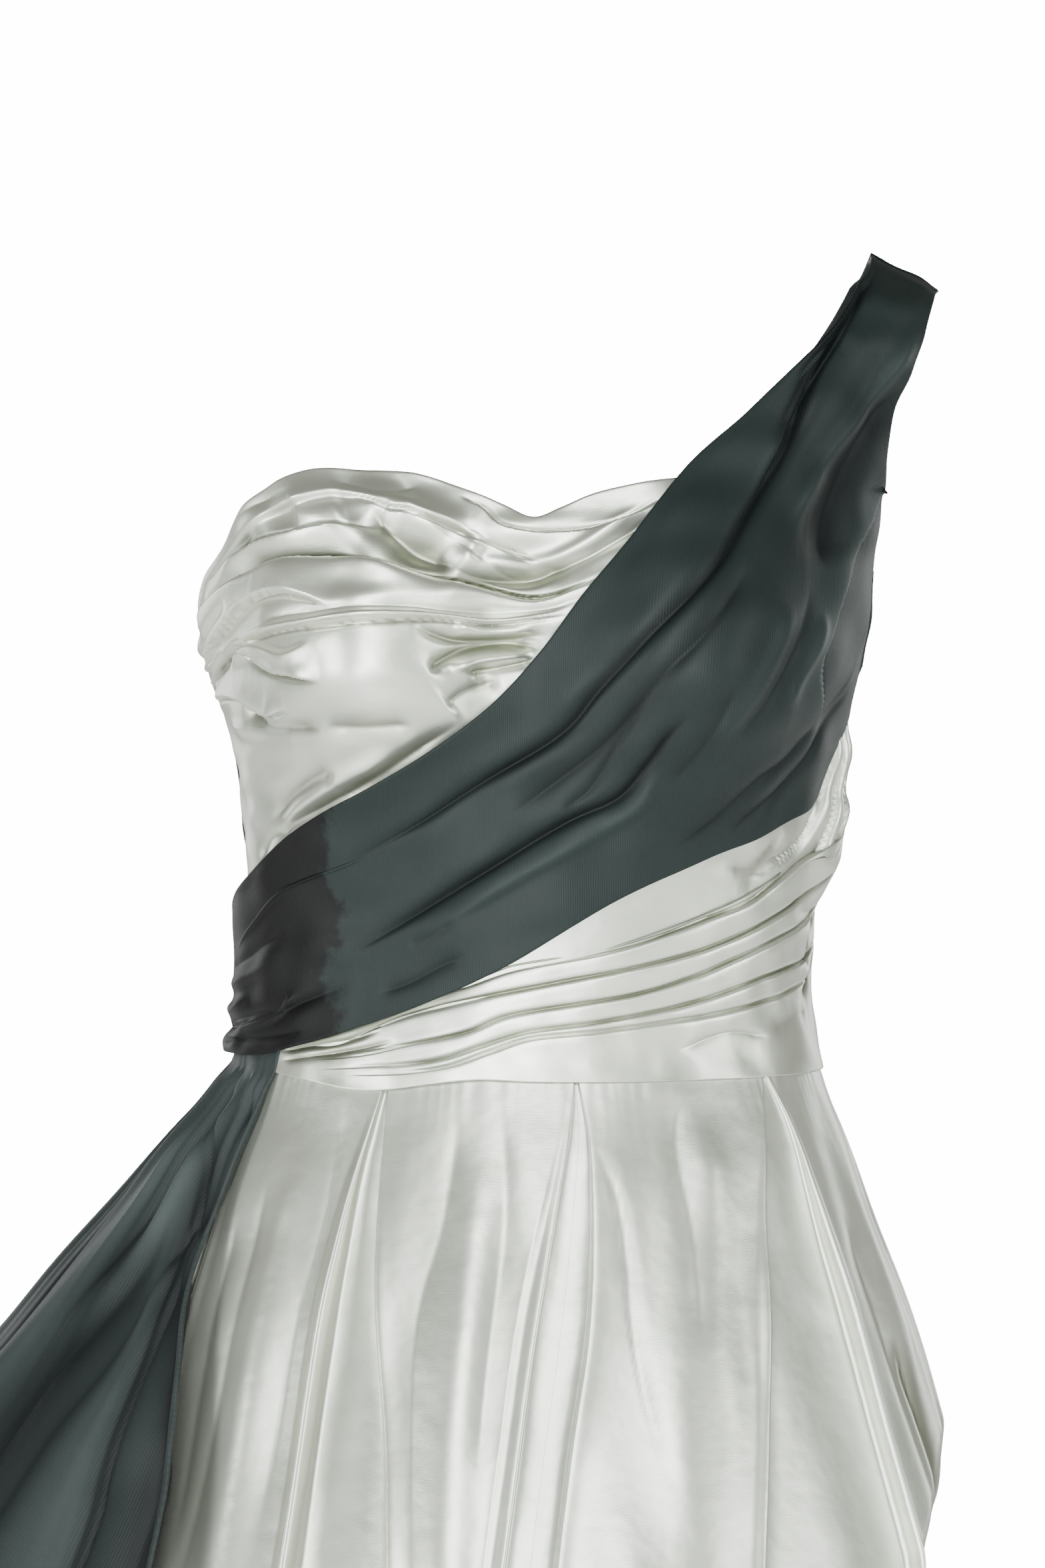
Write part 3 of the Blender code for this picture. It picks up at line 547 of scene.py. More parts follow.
def crease_relief(kind, height, left, right, points, across, up, scale):
    """Relief of one crease over a grid whose across and up are in metres on the cloth."""
    keys = range(len(points))
    table = [(k, p[0] * scale, p[1] * MM) for k, p in zip(keys, points)]
    steps = np.linspace(0, len(points) - 1, 8 * (len(points) - 1) + 1)
    line = np.stack([read_curve(table, 1, steps), read_curve(table, 2, steps)], axis=-1)
    reach = 5.0 * max(left, right) * MM
    low = line.min(axis=0) - reach
    high = line.max(axis=0) + reach
    near = (across > low[0]) & (across < high[0]) & (up > low[1]) & (up < high[1])
    relief = np.zeros_like(across)
    if not near.any():
        return relief
    spot = np.stack([across[near], up[near]], axis=-1)
    best = np.full(len(spot), 1e9)
    side = np.zeros(len(spot))
    along = np.zeros(len(spot))
    for i in range(len(line) - 1):
        run = line[i + 1] - line[i]
        length = max(float(run @ run), 1e-12)
        share = np.clip(((spot - line[i]) @ run) / length, 0.0, 1.0)
        gap = spot - line[i] - share[:, None] * run
        distance = np.hypot(gap[:, 0], gap[:, 1])
        closer = distance < best
        turn = run[0] * gap[:, 1] - run[1] * gap[:, 0]
        best = np.where(closer, distance, best)
        side = np.where(closer, np.sign(turn), side)
        along = np.where(closer, (i + share) / (len(line) - 1), along)
    width = np.where(side > 0, left, right) * MM
    if kind == "valley":
        fade = np.exp(-(np.sqrt(best**2 + (0.4 * MM) ** 2) - 0.4 * MM) / width)
        profile = -np.maximum(fade - math.exp(-4.6), 0.0)
    elif kind == "ridge":
        profile = np.exp(-((best / width) ** 2))
    else:
        plateau = np.exp(-((best / (right * MM)) ** 2))
        groove = 0.5 * np.exp(-(((best - left * MM) / (0.9 * MM)) ** 2))
        profile = np.where(side > 0, 1.0 - smooth(0.0, left * MM, best) - groove, plateau)
    taper = smooth(0.0, 0.2, along) * (1.0 - smooth(0.8, 1.0, along))
    relief[near] = height * MM * profile * taper
    return relief


def creases(table, across, up, scale=METRES_PER_DEGREE, share=1.0):
    """Relief of a table of creases; across is in degrees and up in metres."""
    total = np.zeros_like(across)
    for kind, height, left, right, points in table:
        total += crease_relief(kind, height * share, left, right, points, across * scale, up, scale)
    return total


def round_body(angle, path=0.12):
    """Distance in metres round the figure from centre front to an angle, read every half degree."""
    steps = np.linspace(-95.0, 95.0, 381)
    ring = on_figure(steps, np.full_like(steps, path), np.full_like(steps, SASH_OFF))
    length = np.concatenate([[0.0], np.cumsum(np.linalg.norm(np.diff(ring, axis=0), axis=-1))])
    return np.interp(angle, steps, length - np.interp(0.0, steps, length))


def unit(vectors):
    """Vectors of length 1."""
    return vectors / np.maximum(np.linalg.norm(vectors, axis=-1, keepdims=True), 1e-9)


def turned_edge(points, radius, tuck):
    """Rows added past the last row: the cloth rolls over and is turned in behind itself."""
    outward = unit(points[-1] - points[-3])
    along = np.gradient(points[-1], axis=0)
    normal = unit(np.cross(along, outward))
    rows = []
    for turn in np.radians((30, 60, 90, 125, 160, 180)):
        rows.append(points[-1] + outward * radius * math.sin(turn) - normal * radius * (1 - math.cos(turn)))
    for back in (0.4, 1.0):
        rows.append(points[-1] - outward * tuck * back - normal * 2 * radius)
    return np.concatenate([points, np.array(rows)])


def with_turned_edges(points, radius, tuck, top=False, bottom=False, left=False, right=False):
    """Grid whose chosen edges are turned in; rows run upward and columns to the right."""
    if top:
        points = turned_edge(points, radius, tuck)
    if bottom:
        points = turned_edge(points[::-1, ::-1], radius, tuck)[::-1, ::-1]
    if right:
        points = np.swapaxes(turned_edge(np.swapaxes(points, 0, 1)[:, ::-1], radius, tuck), 0, 1)[::-1]
    if left:
        points = np.swapaxes(turned_edge(np.swapaxes(points, 0, 1)[::-1], radius, tuck)[::-1], 0, 1)
    return points


def widened(grid, top=False, bottom=False, left=False, right=False):
    """Grid of values widened to match a grid of points with turned edges; None stays None."""
    if grid is None:
        return None
    rows = (EDGE_ROWS * bottom, EDGE_ROWS * top)
    columns = (EDGE_ROWS * left, EDGE_ROWS * right)
    return np.pad(grid, (rows, columns) + ((0, 0),) * (grid.ndim - 2), mode="edge")


def painted_fold_shade(relief, full):
    """Painted shade and highlight: 0 deep in a fold, 0.5 on plain cloth and 1 on a crest, for a relief that
    is full at a height.
    """
    return np.clip(0.5 + 0.5 * relief / full, 0.0, 1.0)


def local_relief(grid, reach=5):
    """How far each value of a row stands above the mean of its neighbours."""
    total = np.cumsum(np.pad(grid, ((0, 0), (reach + 1, reach)), mode="edge"), axis=1)
    total = np.pad(total, ((0, 0), (1, 0)))
    mean = (total[:, 2 * reach + 2:] - total[:, 1:-2 * reach - 1]) / (2 * reach + 1)
    return grid - mean


def cloth_coordinates(points):
    """Distances in metres across and up the cloth, as (rows, columns, 2)."""
    step = np.linalg.norm(np.diff(points, axis=1), axis=-1)
    middle = step[len(step) // 2]
    across = np.concatenate([[0.0], np.cumsum(middle)])
    rise = np.linalg.norm(np.diff(points, axis=0), axis=-1)
    up = np.concatenate([[0.0], np.cumsum(rise[:, rise.shape[1] // 2])])
    grid = np.meshgrid(across, up)
    return np.stack(grid, axis=-1)


def add_cloth(name, points, material, coordinates=None, shade=None):
    """Mesh piece from a grid of points, bottom row first, seen from outside left to right."""
    rows, columns = points.shape[:2]
    corner = np.arange(rows * columns).reshape(rows, columns)
    faces = np.stack([corner[:-1, :-1], corner[:-1, 1:], corner[1:, 1:], corner[1:, :-1]], axis=-1)
    faces = faces.reshape(-1, 4)
    mesh = bpy.data.meshes.new(name)
    mesh.from_pydata(points.reshape(-1, 3).tolist(), [], faces.tolist())
    mesh.shade_smooth()
    spread = cloth_coordinates(points) if coordinates is None else coordinates
    layer = mesh.uv_layers.new(name="Cloth")
    layer.data.foreach_set("uv", spread.reshape(-1, 2)[faces.reshape(-1)].astype(np.float32).reshape(-1))
    mesh.materials.append(material)
    shade = np.full(rows * columns, 0.5) if shade is None else shade
    # Painted shade in folds and painted highlight on crests, per point, for the materials
    folds = mesh.attributes.new("Fold shade", "FLOAT", "POINT")
    folds.data.foreach_set("value", shade.astype(np.float32).reshape(-1))
    piece = bpy.data.objects.new(name, mesh)
    gown_collection().objects.link(piece)
    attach(piece, "root")
    return piece


def gown_collection():
    """Collection that holds every piece of the gown."""
    found = bpy.data.collections.get("Ball gown")
    if found is None:
        found = bpy.data.collections.new("Ball gown")
        bpy.context.scene.collection.children.link(found)
    return found


def set_inputs(node, **values):
    """Set a node's sockets by name, with underscores for spaces."""
    for name, value in values.items():
        node.inputs[name.replace("_", " ")].default_value = value


def new_material(name):
    """New node material, its nodes, its links and its Principled shader."""
    material = bpy.data.materials.new(name)
    material.use_nodes = True
    nodes = material.node_tree.nodes
    return material, nodes, material.node_tree.links, nodes["Principled BSDF"]


def noise(nodes, links, vector, scale, detail, roughness=0.5):
    """Socket of a noise texture read at a vector."""
    node = nodes.new("ShaderNodeTexNoise")
    set_inputs(node, Scale=scale, Detail=detail, Roughness=roughness)
    links.new(vector, node.inputs["Vector"])
    return node.outputs["Fac"]


def mixed(nodes, links, factor, first, second, blend="MIX"):
    """Colour socket between two colours; the first may be a socket itself."""
    node = nodes.new("ShaderNodeMix")
    node.data_type = "RGBA"
    node.blend_type = blend
    links.new(factor, node.inputs["Factor"])
    if isinstance(first, bpy.types.NodeSocket):
        links.new(first, node.inputs["A"])
    else:
        node.inputs["A"].default_value = (*first, 1.0)
    node.inputs["B"].default_value = (*second, 1.0)
    return node.outputs["Result"]


def bumped(nodes, links, height, strength, distance, normal=None):
    """Normal socket of a bump over a height socket, on top of another normal if one is given."""
    node = nodes.new("ShaderNodeBump")
    set_inputs(node, Strength=strength, Distance=distance)
    links.new(height, node.inputs["Height"])
    if normal is not None:
        links.new(normal, node.inputs["Normal"])
    return node.outputs["Normal"]


def add_fold_shade(nodes, links, colour, deep, crest):
    """Colour socket multiplied towards painted shade inside folds and a painted highlight on their crests.
    """
    folds = nodes.new("ShaderNodeAttribute")
    folds.attribute_name = "Fold shade"
    for tone, full in ((deep, 0.0), (crest, 1.0)):
        reach = nodes.new("ShaderNodeMapRange")
        set_inputs(reach, From_Min=0.5, From_Max=full, To_Min=0.0, To_Max=1.0)
        links.new(folds.outputs["Fac"], reach.inputs["Value"])
        colour = mixed(nodes, links, reach.outputs["Result"], colour, tone, "MULTIPLY")
    return colour


def satin_material(name, settings):
    """Silk satin: pale, glossy along soft folds, with a fine slubby weave."""
    material, nodes, links, shader = new_material(name)
    set_inputs(shader, Roughness=settings.roughness, Metallic=0.85, Anisotropic=0.2)
    set_inputs(shader, Coat_Weight=0.25, Coat_Roughness=0.28)
    place = nodes.new("ShaderNodeTexCoord")
    darker = [0.93 * part for part in settings.colour]
    lighter = [min(1.0, 1.05 * part) for part in settings.colour]
    cloud = noise(nodes, links, place.outputs["Object"], 26.0, 3.0, 0.55)
    colour = mixed(nodes, links, cloud, darker, lighter)
    # Painted shade in folds and painted highlight on crests
    colour = add_fold_shade(nodes, links, colour, SATIN_PAINTED_SHADE, SATIN_PAINTED_HIGHLIGHT)
    links.new(colour, shader.inputs["Base Color"])
    stretch = nodes.new("ShaderNodeMapping")
    set_inputs(stretch, Scale=(320.0, 2600.0, 1.0))
    links.new(place.outputs["UV"], stretch.inputs["Vector"])
    threads = noise(nodes, links, stretch.outputs["Vector"], 1.0, 2.0)
    ripple = noise(nodes, links, place.outputs["Object"], 55.0, 2.0)
    soft = bumped(nodes, links, ripple, 0.35, 0.0016)
    links.new(bumped(nodes, links, threads, 0.22, 0.0002, soft), shader.inputs["Normal"])
    return material


def faille_material(name, settings, worn_patch=False, lift=(1.0, 1.0, 1.0)):
    """Faille: dark silk with fine ribs, darker where it is crushed at the far waist."""
    material, nodes, links, shader = new_material(name)
    set_inputs(shader, Roughness=settings.roughness, Metallic=0.0)
    set_inputs(shader, Specular_IOR_Level=0.14, Sheen_Weight=0.02, Sheen_Roughness=0.4)
    place = nodes.new("ShaderNodeTexCoord")
    ribs = nodes.new("ShaderNodeTexWave")
    ribs.wave_type = "BANDS"
    ribs.bands_direction = "X"
    set_inputs(ribs, Scale=settings.rib_scale, Distortion=0.6, Detail=1.0, Detail_Scale=0.4)
    links.new(place.outputs["UV"], ribs.inputs["Vector"])
    # lift makes the colour lighter as painted light; it is above 1 only on the hip fall
    darker = [0.82 * part * more for part, more in zip(settings.colour, lift)]
    lighter = [1.18 * part * more for part, more in zip(settings.colour, lift)]
    cloud = noise(nodes, links, place.outputs["Object"], 30.0, 4.0, 0.6)
    colour = mixed(nodes, links, cloud, darker, lighter)
    between = nodes.new("ShaderNodeMath")
    between.operation = "SUBTRACT"
    between.inputs[0].default_value = 1.0
    links.new(ribs.outputs["Fac"], between.inputs[1])
    colour = mixed(nodes, links, between.outputs["Value"], colour, (0.86, 0.865, 0.865), "MULTIPLY")
    if worn_patch:
        colour = add_worn_patch(nodes, links, place.outputs["Object"], colour, settings)
    # Painted shade in folds and painted highlight on crests
    colour = add_fold_shade(nodes, links, colour, FAILLE_PAINTED_SHADE, FAILLE_PAINTED_HIGHLIGHT)
    links.new(colour, shader.inputs["Base Color"])
    links.new(bumped(nodes, links, ribs.outputs["Fac"], 0.35, 0.0001), shader.inputs["Normal"])
    return material


def add_worn_patch(nodes, links, place, colour, settings):
    """Colour socket with a ragged darker patch of the sash towards the far waist."""
    split = nodes.new("ShaderNodeSeparateXYZ")
    links.new(place, split.inputs["Vector"])
    shift = nodes.new("ShaderNodeMath")
    shift.operation = "MULTIPLY_ADD"
    shift.inputs[1].default_value = PATCH_RAGGED
    links.new(noise(nodes, links, place, 34.0, 6.0, 0.62), shift.inputs[0])
    links.new(split.outputs["X"], shift.inputs[2])
    edge = nodes.new("ShaderNodeMapRange")
    edge.interpolation_type = "SMOOTHSTEP"
    set_inputs(edge, From_Min=PATCH_FULL, From_Max=PATCH_NONE, To_Min=1.0, To_Max=0.0)
    links.new(shift.outputs["Value"], edge.inputs["Value"])
    return mixed(nodes, links, edge.outputs["Result"], colour, settings.crushed_colour)


def side_puckers(from_seam, height):
    """Small uneven gathers that fan out of the -X side seam at the bust."""
    reach = 0.010 + 0.005 * np.sin(height * 700.0)
    fan = height - 0.25 * from_seam * (height - 0.15) / 0.04
    wave = np.sin(math.tau * fan / 0.0085 + 1.5 * np.sin(height * 260.0))
    place = smooth(0.150, 0.160, height) * (1.0 - smooth(0.182, 0.196, height))
    return 0.0013 * wave * place * np.exp(-from_seam / reach)


def build_bodice(context, settings):
    """Ruched front, plain backs and the lap over the closure."""
    satin = satin_material("Silk satin, bodice", context.scene.gown_satin)
    angle = spaced((-90 + SIDE_SEAM_INSET, 0.36), (32.0, 2.0), (60.0, 0.4), 90 - SIDE_SEAM_INSET)
    share = spaced((0.0, 0.03), (0.32, 0.006), (0.55, 0.0028), 1.0)
    angles, shares = np.meshgrid(angle, share)
    heights = BODICE_FOOT + (read_curve(NECKLINE, 1, angles) - BODICE_FOOT) * shares
    relief = creases(BUST_CREASES, angles, heights, share=settings.ruche_height)
    x = angles * METRES_PER_DEGREE
    soft = 0.0004 + 0.0006 * smooth(0.185, 0.205, heights)
    relief += soft * undulation(x * 0.5, heights, 0.011, 3) * smooth(0.06, 0.10, heights)
    relief += side_puckers(x + 90.0 * METRES_PER_DEGREE, heights)
    near_top = 1.0 - smooth(0.0, 0.014, read_curve(NECKLINE, 1, angles) - heights)
    relief *= 1.0 - near_top * (1.0 - smooth(-62.0, -46.0, angles))
    # Painted shade in the bust's folds and painted highlight on their crests
    shade = painted_fold_shade(relief, BODICE_FULL_FOLD)
    bunched = side_gather(angles, heights) + side_folds(angles, heights)
    points = on_figure(angles, heights, BODICE_OFF + bunched + relief)
    add_piece("bodice_front", satin, points, (0.42, 0.26), radius=0.0011, tuck=0.010,
              shade=shade)
    for node, first, last in (("bodice_back_left", 90, 180), ("bodice_back_right", 180, 270)):
        angles, shares = np.meshgrid(spaced((first + SIDE_SEAM_INSET, 0.9), last - SIDE_SEAM_INSET),
                                     spaced((0.0, 0.012), 1.0))
        wrapped = (angles + 180.0) % 360.0 - 180.0
        heights = BODICE_FOOT + (read_curve(NECKLINE, 1, wrapped) - BODICE_FOOT) * shares
        relief = side_gather(wrapped, heights) + side_folds(angles, heights)
        relief = relief + 0.0006 * undulation(angles * METRES_PER_DEGREE, heights, 0.020, 5)
        points = on_figure(angles, heights, BODICE_OFF + relief)
        add_piece(node, satin, points, (0.19, 0.20))
    angles, heights = np.meshgrid(spaced((177.5, 0.4), 184.0), spaced((0.052, 0.003), 0.160))
    points = on_figure(angles, heights, PLACKET_OFF + 0 * angles)
    add_piece("back_placket", satin, points, (0.028, 0.12),
              edges=("top", "bottom", "left", "right"))


def cut_of(points):
    """Flat width and length of a flared panel, along its widest row and column, and its area."""
    width = float(np.linalg.norm(np.diff(points, axis=1), axis=-1).sum(axis=1).max())
    length = float(np.linalg.norm(np.diff(points, axis=0), axis=-1).sum(axis=0).max())
    first = points[1:, 1:] - points[:-1, :-1]
    second = points[1:, :-1] - points[:-1, 1:]
    area = float(0.5 * np.linalg.norm(np.cross(first, second), axis=-1).sum())
    return (width, length), max(area, 0.31 * width * length)


def add_piece(node, material, points, flat=None, area=None, edges=("top",), radius=0.0007, tuck=0.006,
              ribs=None, shade=None):
    """Piece of cloth with turned edges, named for its node and cloth; the node's own part is hidden, and the
    cut size is worked out but not kept.
    """
    edges = dict.fromkeys(edges, True)
    points = with_turned_edges(points, radius=radius, tuck=tuck, **edges)
    cloth = "satin" if ribs is None else "faille"
    piece = add_cloth(f"{node}_{cloth}", points, material, widened(ribs, **edges), widened(shade, **edges))
    if flat is None:
        flat, area = cut_of(points)
    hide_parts(node)


def build_swathe(context, settings):
    """Knife-pleated waist swathe and its plain back."""
    satin = satin_material("Silk satin, swathe", context.scene.gown_satin)
    for back in (False, True):
        fine = (0.8, 0.0038) if not back else (1.6, 0.0080)
        angles, shares = np.meshgrid(spaced((SWATHE_END, fine[0]), 89.8), spaced((0.0, fine[1]), 1.0))
        low = np.full_like(angles, SWATHE_LOW[-1][1]) if back else read_curve(SWATHE_LOW, 1, angles)
        heights = low + (read_curve(SWATHE_TOP, 1, angles) - low) * shares
        relief = creases(SWATHE_CREASES, angles, heights, share=settings.pleat_height)
        relief *= 1.0 + 0.6 * smooth(60.0, 88.0, angles)
        relief -= 0.0011 * (1.0 - smooth(-4.0, 20.0, angles)) * smooth(0.4, 0.9, shares)
        if back:
            relief = relief * 0.6
        relief += 0.0003 * undulation(angles * METRES_PER_DEGREE, heights, 0.014, 11)
        # Painted shade in the pleats' folds and painted highlight on their edges, a little darker all over
        shade = painted_fold_shade(relief - 0.0004, SWATHE_FULL_FOLD)
        round_angles = 180.0 - angles if back else angles
        relief += side_folds(round_angles, heights)
        points = on_figure(round_angles, heights, SWATHE_OFF + relief)
        if back:
            points, shade = points[:, ::-1], shade[:, ::-1]
        add_piece("waist_swathe_back" if back else "waist_swathe", satin, points, (0.34, 0.13),
                  0.0275, edges=("top", "bottom"), radius=0.0005, tuck=0.004, shade=shade)


def build_sash(context, settings):
    """Faille sash, front and back halves."""
    faille = faille_material("Ribbed faille, sash", context.scene.gown_faille, worn_patch=True)
    for back in (False, True):
        shares, acrosses = np.meshgrid(spaced((0.0, 0.005 if back else 0.0024), 1.0),
                                       spaced((0.0, 0.012 if back else 0.0052), 1.0))
        angle_top = read_curve(SASH_UPPER, 1, shares)
        angle_low = read_curve(SASH_LOWER, 1, shares)
        path_top = read_curve(SASH_UPPER, 2, shares)
        path_low = read_curve(SASH_LOWER, 2, shares)
        angles = angle_top + (angle_low - angle_top) * acrosses
        paths = path_top + (path_low - path_top) * acrosses
        relief = creases(SASH_CREASES, angles, paths, share=settings.fold_height * (0.6 if back else 1.0))
        # Painted shade in the sash's folds and painted highlight on their crests
        shade = painted_fold_shade(relief, SASH_FULL_FOLD)
        relief += 0.0006 * undulation(angles * METRES_PER_DEGREE, paths, 0.018, 21)
        relief *= 0.35 + 0.65 * smooth(0.0, 0.06, acrosses)
        floor = SASH_CLEARANCE - SASH_OFF - 0.006 * smooth(0.262, 0.275, paths)
        relief = np.where(relief < 0.0, floor * (1.0 - np.exp(-relief / floor)), relief)
        points = on_figure(180.0 - angles if back else angles, paths, SASH_OFF + relief)
        points[..., 1] *= smooth(0.0, SHOULDER_JOIN_SHARE, shares)
        ribs = np.stack([round_body(angles), paths], axis=-1)
        if back:
            points[..., 1] = np.maximum(points[..., 1], SASH_JOIN)
        else:
            points[..., 1] = np.minimum(points[..., 1], -SASH_JOIN)
        points, ribs, shade = (grid[::-1, ::1 if back else -1] for grid in (points, ribs, shade))
        add_piece("sash_back" if back else "sash_front", faille, points, (0.50, 0.16), 0.055,
                  edges=("top", "bottom"), radius=0.0008, ribs=ribs, shade=shade)


def pleat_edges(index, drops):
    """Angles of a pleat's two folded edges at each drop."""
    turns, k = divmod(index, len(PLEAT_ANGLES))
    if k in FRONT_PLEATS:
        left, right = FRONT_PLEATS[k]
    else:
        left = [PLEAT_ANGLES[k] - w for w in PLAIN_HALF_OPENING]
        right = [PLEAT_ANGLES[k] + w for w in PLAIN_HALF_OPENING]
    table = list(zip(PLEAT_DROPS, left, right))
    shift = 360.0 * turns
    return read_curve(table, 1, drops) + shift, read_curve(table, 2, drops) + shift


def pleat_depth(drop):
    """How far a pleat's underlay lies behind its folded edges."""
    return 0.0025 + 0.0085 * smooth(0.0, 0.12, drop) + 0.034 * smooth(0.08, 1.05, drop)


def panel_swell(drop):
    """How far the skirt's panels billow out between pleats."""
    return 0.003 * smooth(0.0, 0.12, drop) + 0.012 * smooth(0.10, 1.05, drop)


def pleat_half(edge, outward, middle, lift, depth, drops):
    """Columns of half a pleat, from its panel over the folded edge to near the underlay's middle."""
    open_share = smooth(0.0, 0.10, drops)
    millimetre = pleat_millimetre(drops)
    columns = []
    for back_off, proud, under in PLEAT_EDGE:
        out = MM * open_share * (lift * proud - under)
        columns.append((edge + outward * back_off * millimetre, out))
    for share, deep in UNDERLAY:
        columns.append((edge + share * (middle - edge), -deep * depth))
    return columns


def pleat_millimetre(drops):
    """Degrees to a millimetre of cloth at a pleat's edge, less where the pleat is still closed."""
    return np.degrees(MM / read_curve(SKIRT, 1, drops)) * (0.4 + 0.6 * smooth(0.0, 0.10, drops))


def gore_columns(first, last, drops):
    """Angle and stand-off of every column of a gore, as grids over the drops."""
    columns = []
    open_share = smooth(0.0, 0.10, drops)
    margin = PLEAT_EDGE_WIDTH * pleat_millimetre(drops)
    for index in range(first, last + 1):
        left, right = pleat_edges(index, drops)
        lift_left, lift_right = PLEAT_LIFT.get(index % len(PLEAT_ANGLES), PLAIN_LIFT)
        middle = 0.5 * (left + right)
        depth = pleat_depth(drops) * PLEAT_SHALLOW.get(index % len(PLEAT_ANGLES), 1.0)
        if index > first:
            columns += pleat_half(left, -1.0, middle, lift_left, depth, drops)
        columns.append((middle, -depth))
        if index < last:
            columns += pleat_half(right, 1.0, middle, lift_right, depth, drops)[::-1]
            start = right + margin
            stop = pleat_edges(index + 1, drops)[0] - margin
            for share in np.linspace(0.0, 1.0, 46 if index + 1 in (1, 2, 3, 4) else 26):
                billow = panel_swell(drops) * math.sin(math.pi * share) ** 1.5
                edge_lift = 0.3 * MM * open_share * (lift_right * (1 - share) ** 3 + lift_left * share**3)
                columns.append((start + (stop - start) * share, billow + edge_lift))
    angles, outs = zip(*columns)
    return np.stack(angles, axis=-1), np.stack(outs, axis=-1)


def build_skirt(context, settings):
    """Four skirt gores with inverted pleats, joined behind the pleats' underlays."""
    satin = satin_material("Silk satin, skirt", context.scene.gown_satin)
    drops = spaced((0.0002, 0.0016), (0.23, 0.008), (0.45, 0.02), SKIRT_LENGTH)
    gores = (("skirt_front_right", -1, 2), ("skirt_front_left", 2, 4), ("skirt_back_left", 4, 6),
             ("skirt_back_right", 6, 8))
    for number, (name, first, last) in enumerate(gores):
        rows = drops if number < 2 else spaced((0.0002, 0.006), (0.25, 0.012), (0.45, 0.025), SKIRT_LENGTH)
        angles, outs = gore_columns(first, last, rows)
        grid_drops = np.repeat(rows[:, None], angles.shape[1], axis=1)
        relief, hollow = (
            creases(table, angles, grid_drops, SKIRT_METRES_PER_DEGREE, settings.fold_height)
            for table in (SKIRT_CREASES, SKIRT_HOLLOWS)
        )
        relief += hollow
        x = angles * SKIRT_WRINKLE_SCALE
        relief += 0.0008 * undulation(x, grid_drops * 0.35, 0.022, 31) * smooth(0.0, 0.03, grid_drops)
        relief += 0.0040 * undulation(x * 1.3, grid_drops * 0.06, 0.030, 37) * smooth(0.04, 0.5, grid_drops)
        puckers = np.sin(angles * 2.1 + 3.0 * np.sin(angles * 0.37)) * np.exp(-grid_drops / 0.012)
        relief += 0.0002 * puckers
        # Painted shade in folds, beside the pleats' folded edges and deeper in the hollow under the side
        # panel; painted highlight on crests
        shade = painted_fold_shade(0.4 * relief + 0.6 * hollow + 0.3 * local_relief(outs, 3), SKIRT_FULL_FOLD)
        points = skirt_points(angles, grid_drops, outs + relief)
        points[:, 0] += SEAM_GAP * unit(points[:, 1] - points[:, 0])
        points[:, -1] += SEAM_GAP * unit(points[:, -2] - points[:, -1])
        add_piece(name, satin, points[::-1], edges=("bottom",), radius=0.0012, tuck=0.020,
                  shade=shade[::-1])


def fall_points(angles, drops, extra):
    """Points of the hip fall, standing off the skirt."""
    stand = read_curve(FALL, 1, drops)
    front = read_curve(FALL, 2, drops)
    back = read_curve(FALL, 3, drops)
    side = (angles - FALL_MIDDLE) / (np.where(angles > FALL_MIDDLE, front, back) - FALL_MIDDLE)
    hump = 0.16 + 0.84 * (1.0 - smooth(0.0, 1.0, np.abs(side)))
    swell = 0.003 * smooth(0.0, 0.12, drops) + 0.015 * smooth(0.10, 1.05, drops)
    out = FALL_TOP_OFF - BODICE_OFF + stand * hump + swell * smooth(0.0, 0.1, drops)
    return skirt_points(angles, drops, out + extra)


def fall_fullness(share, drops, start):
    """Soft upright folds of the fall, growing as it drops."""
    height = 0.0010 + 0.010 * smooth(0.06, 0.5, drops) + 0.008 * smooth(0.3, 1.0, drops)
    wave = np.sin(math.tau * (4 * share + start) + 0.8 * np.sin(math.tau * share))
    return height * (wave + 1.0) * smooth(0.0, 0.04, drops)


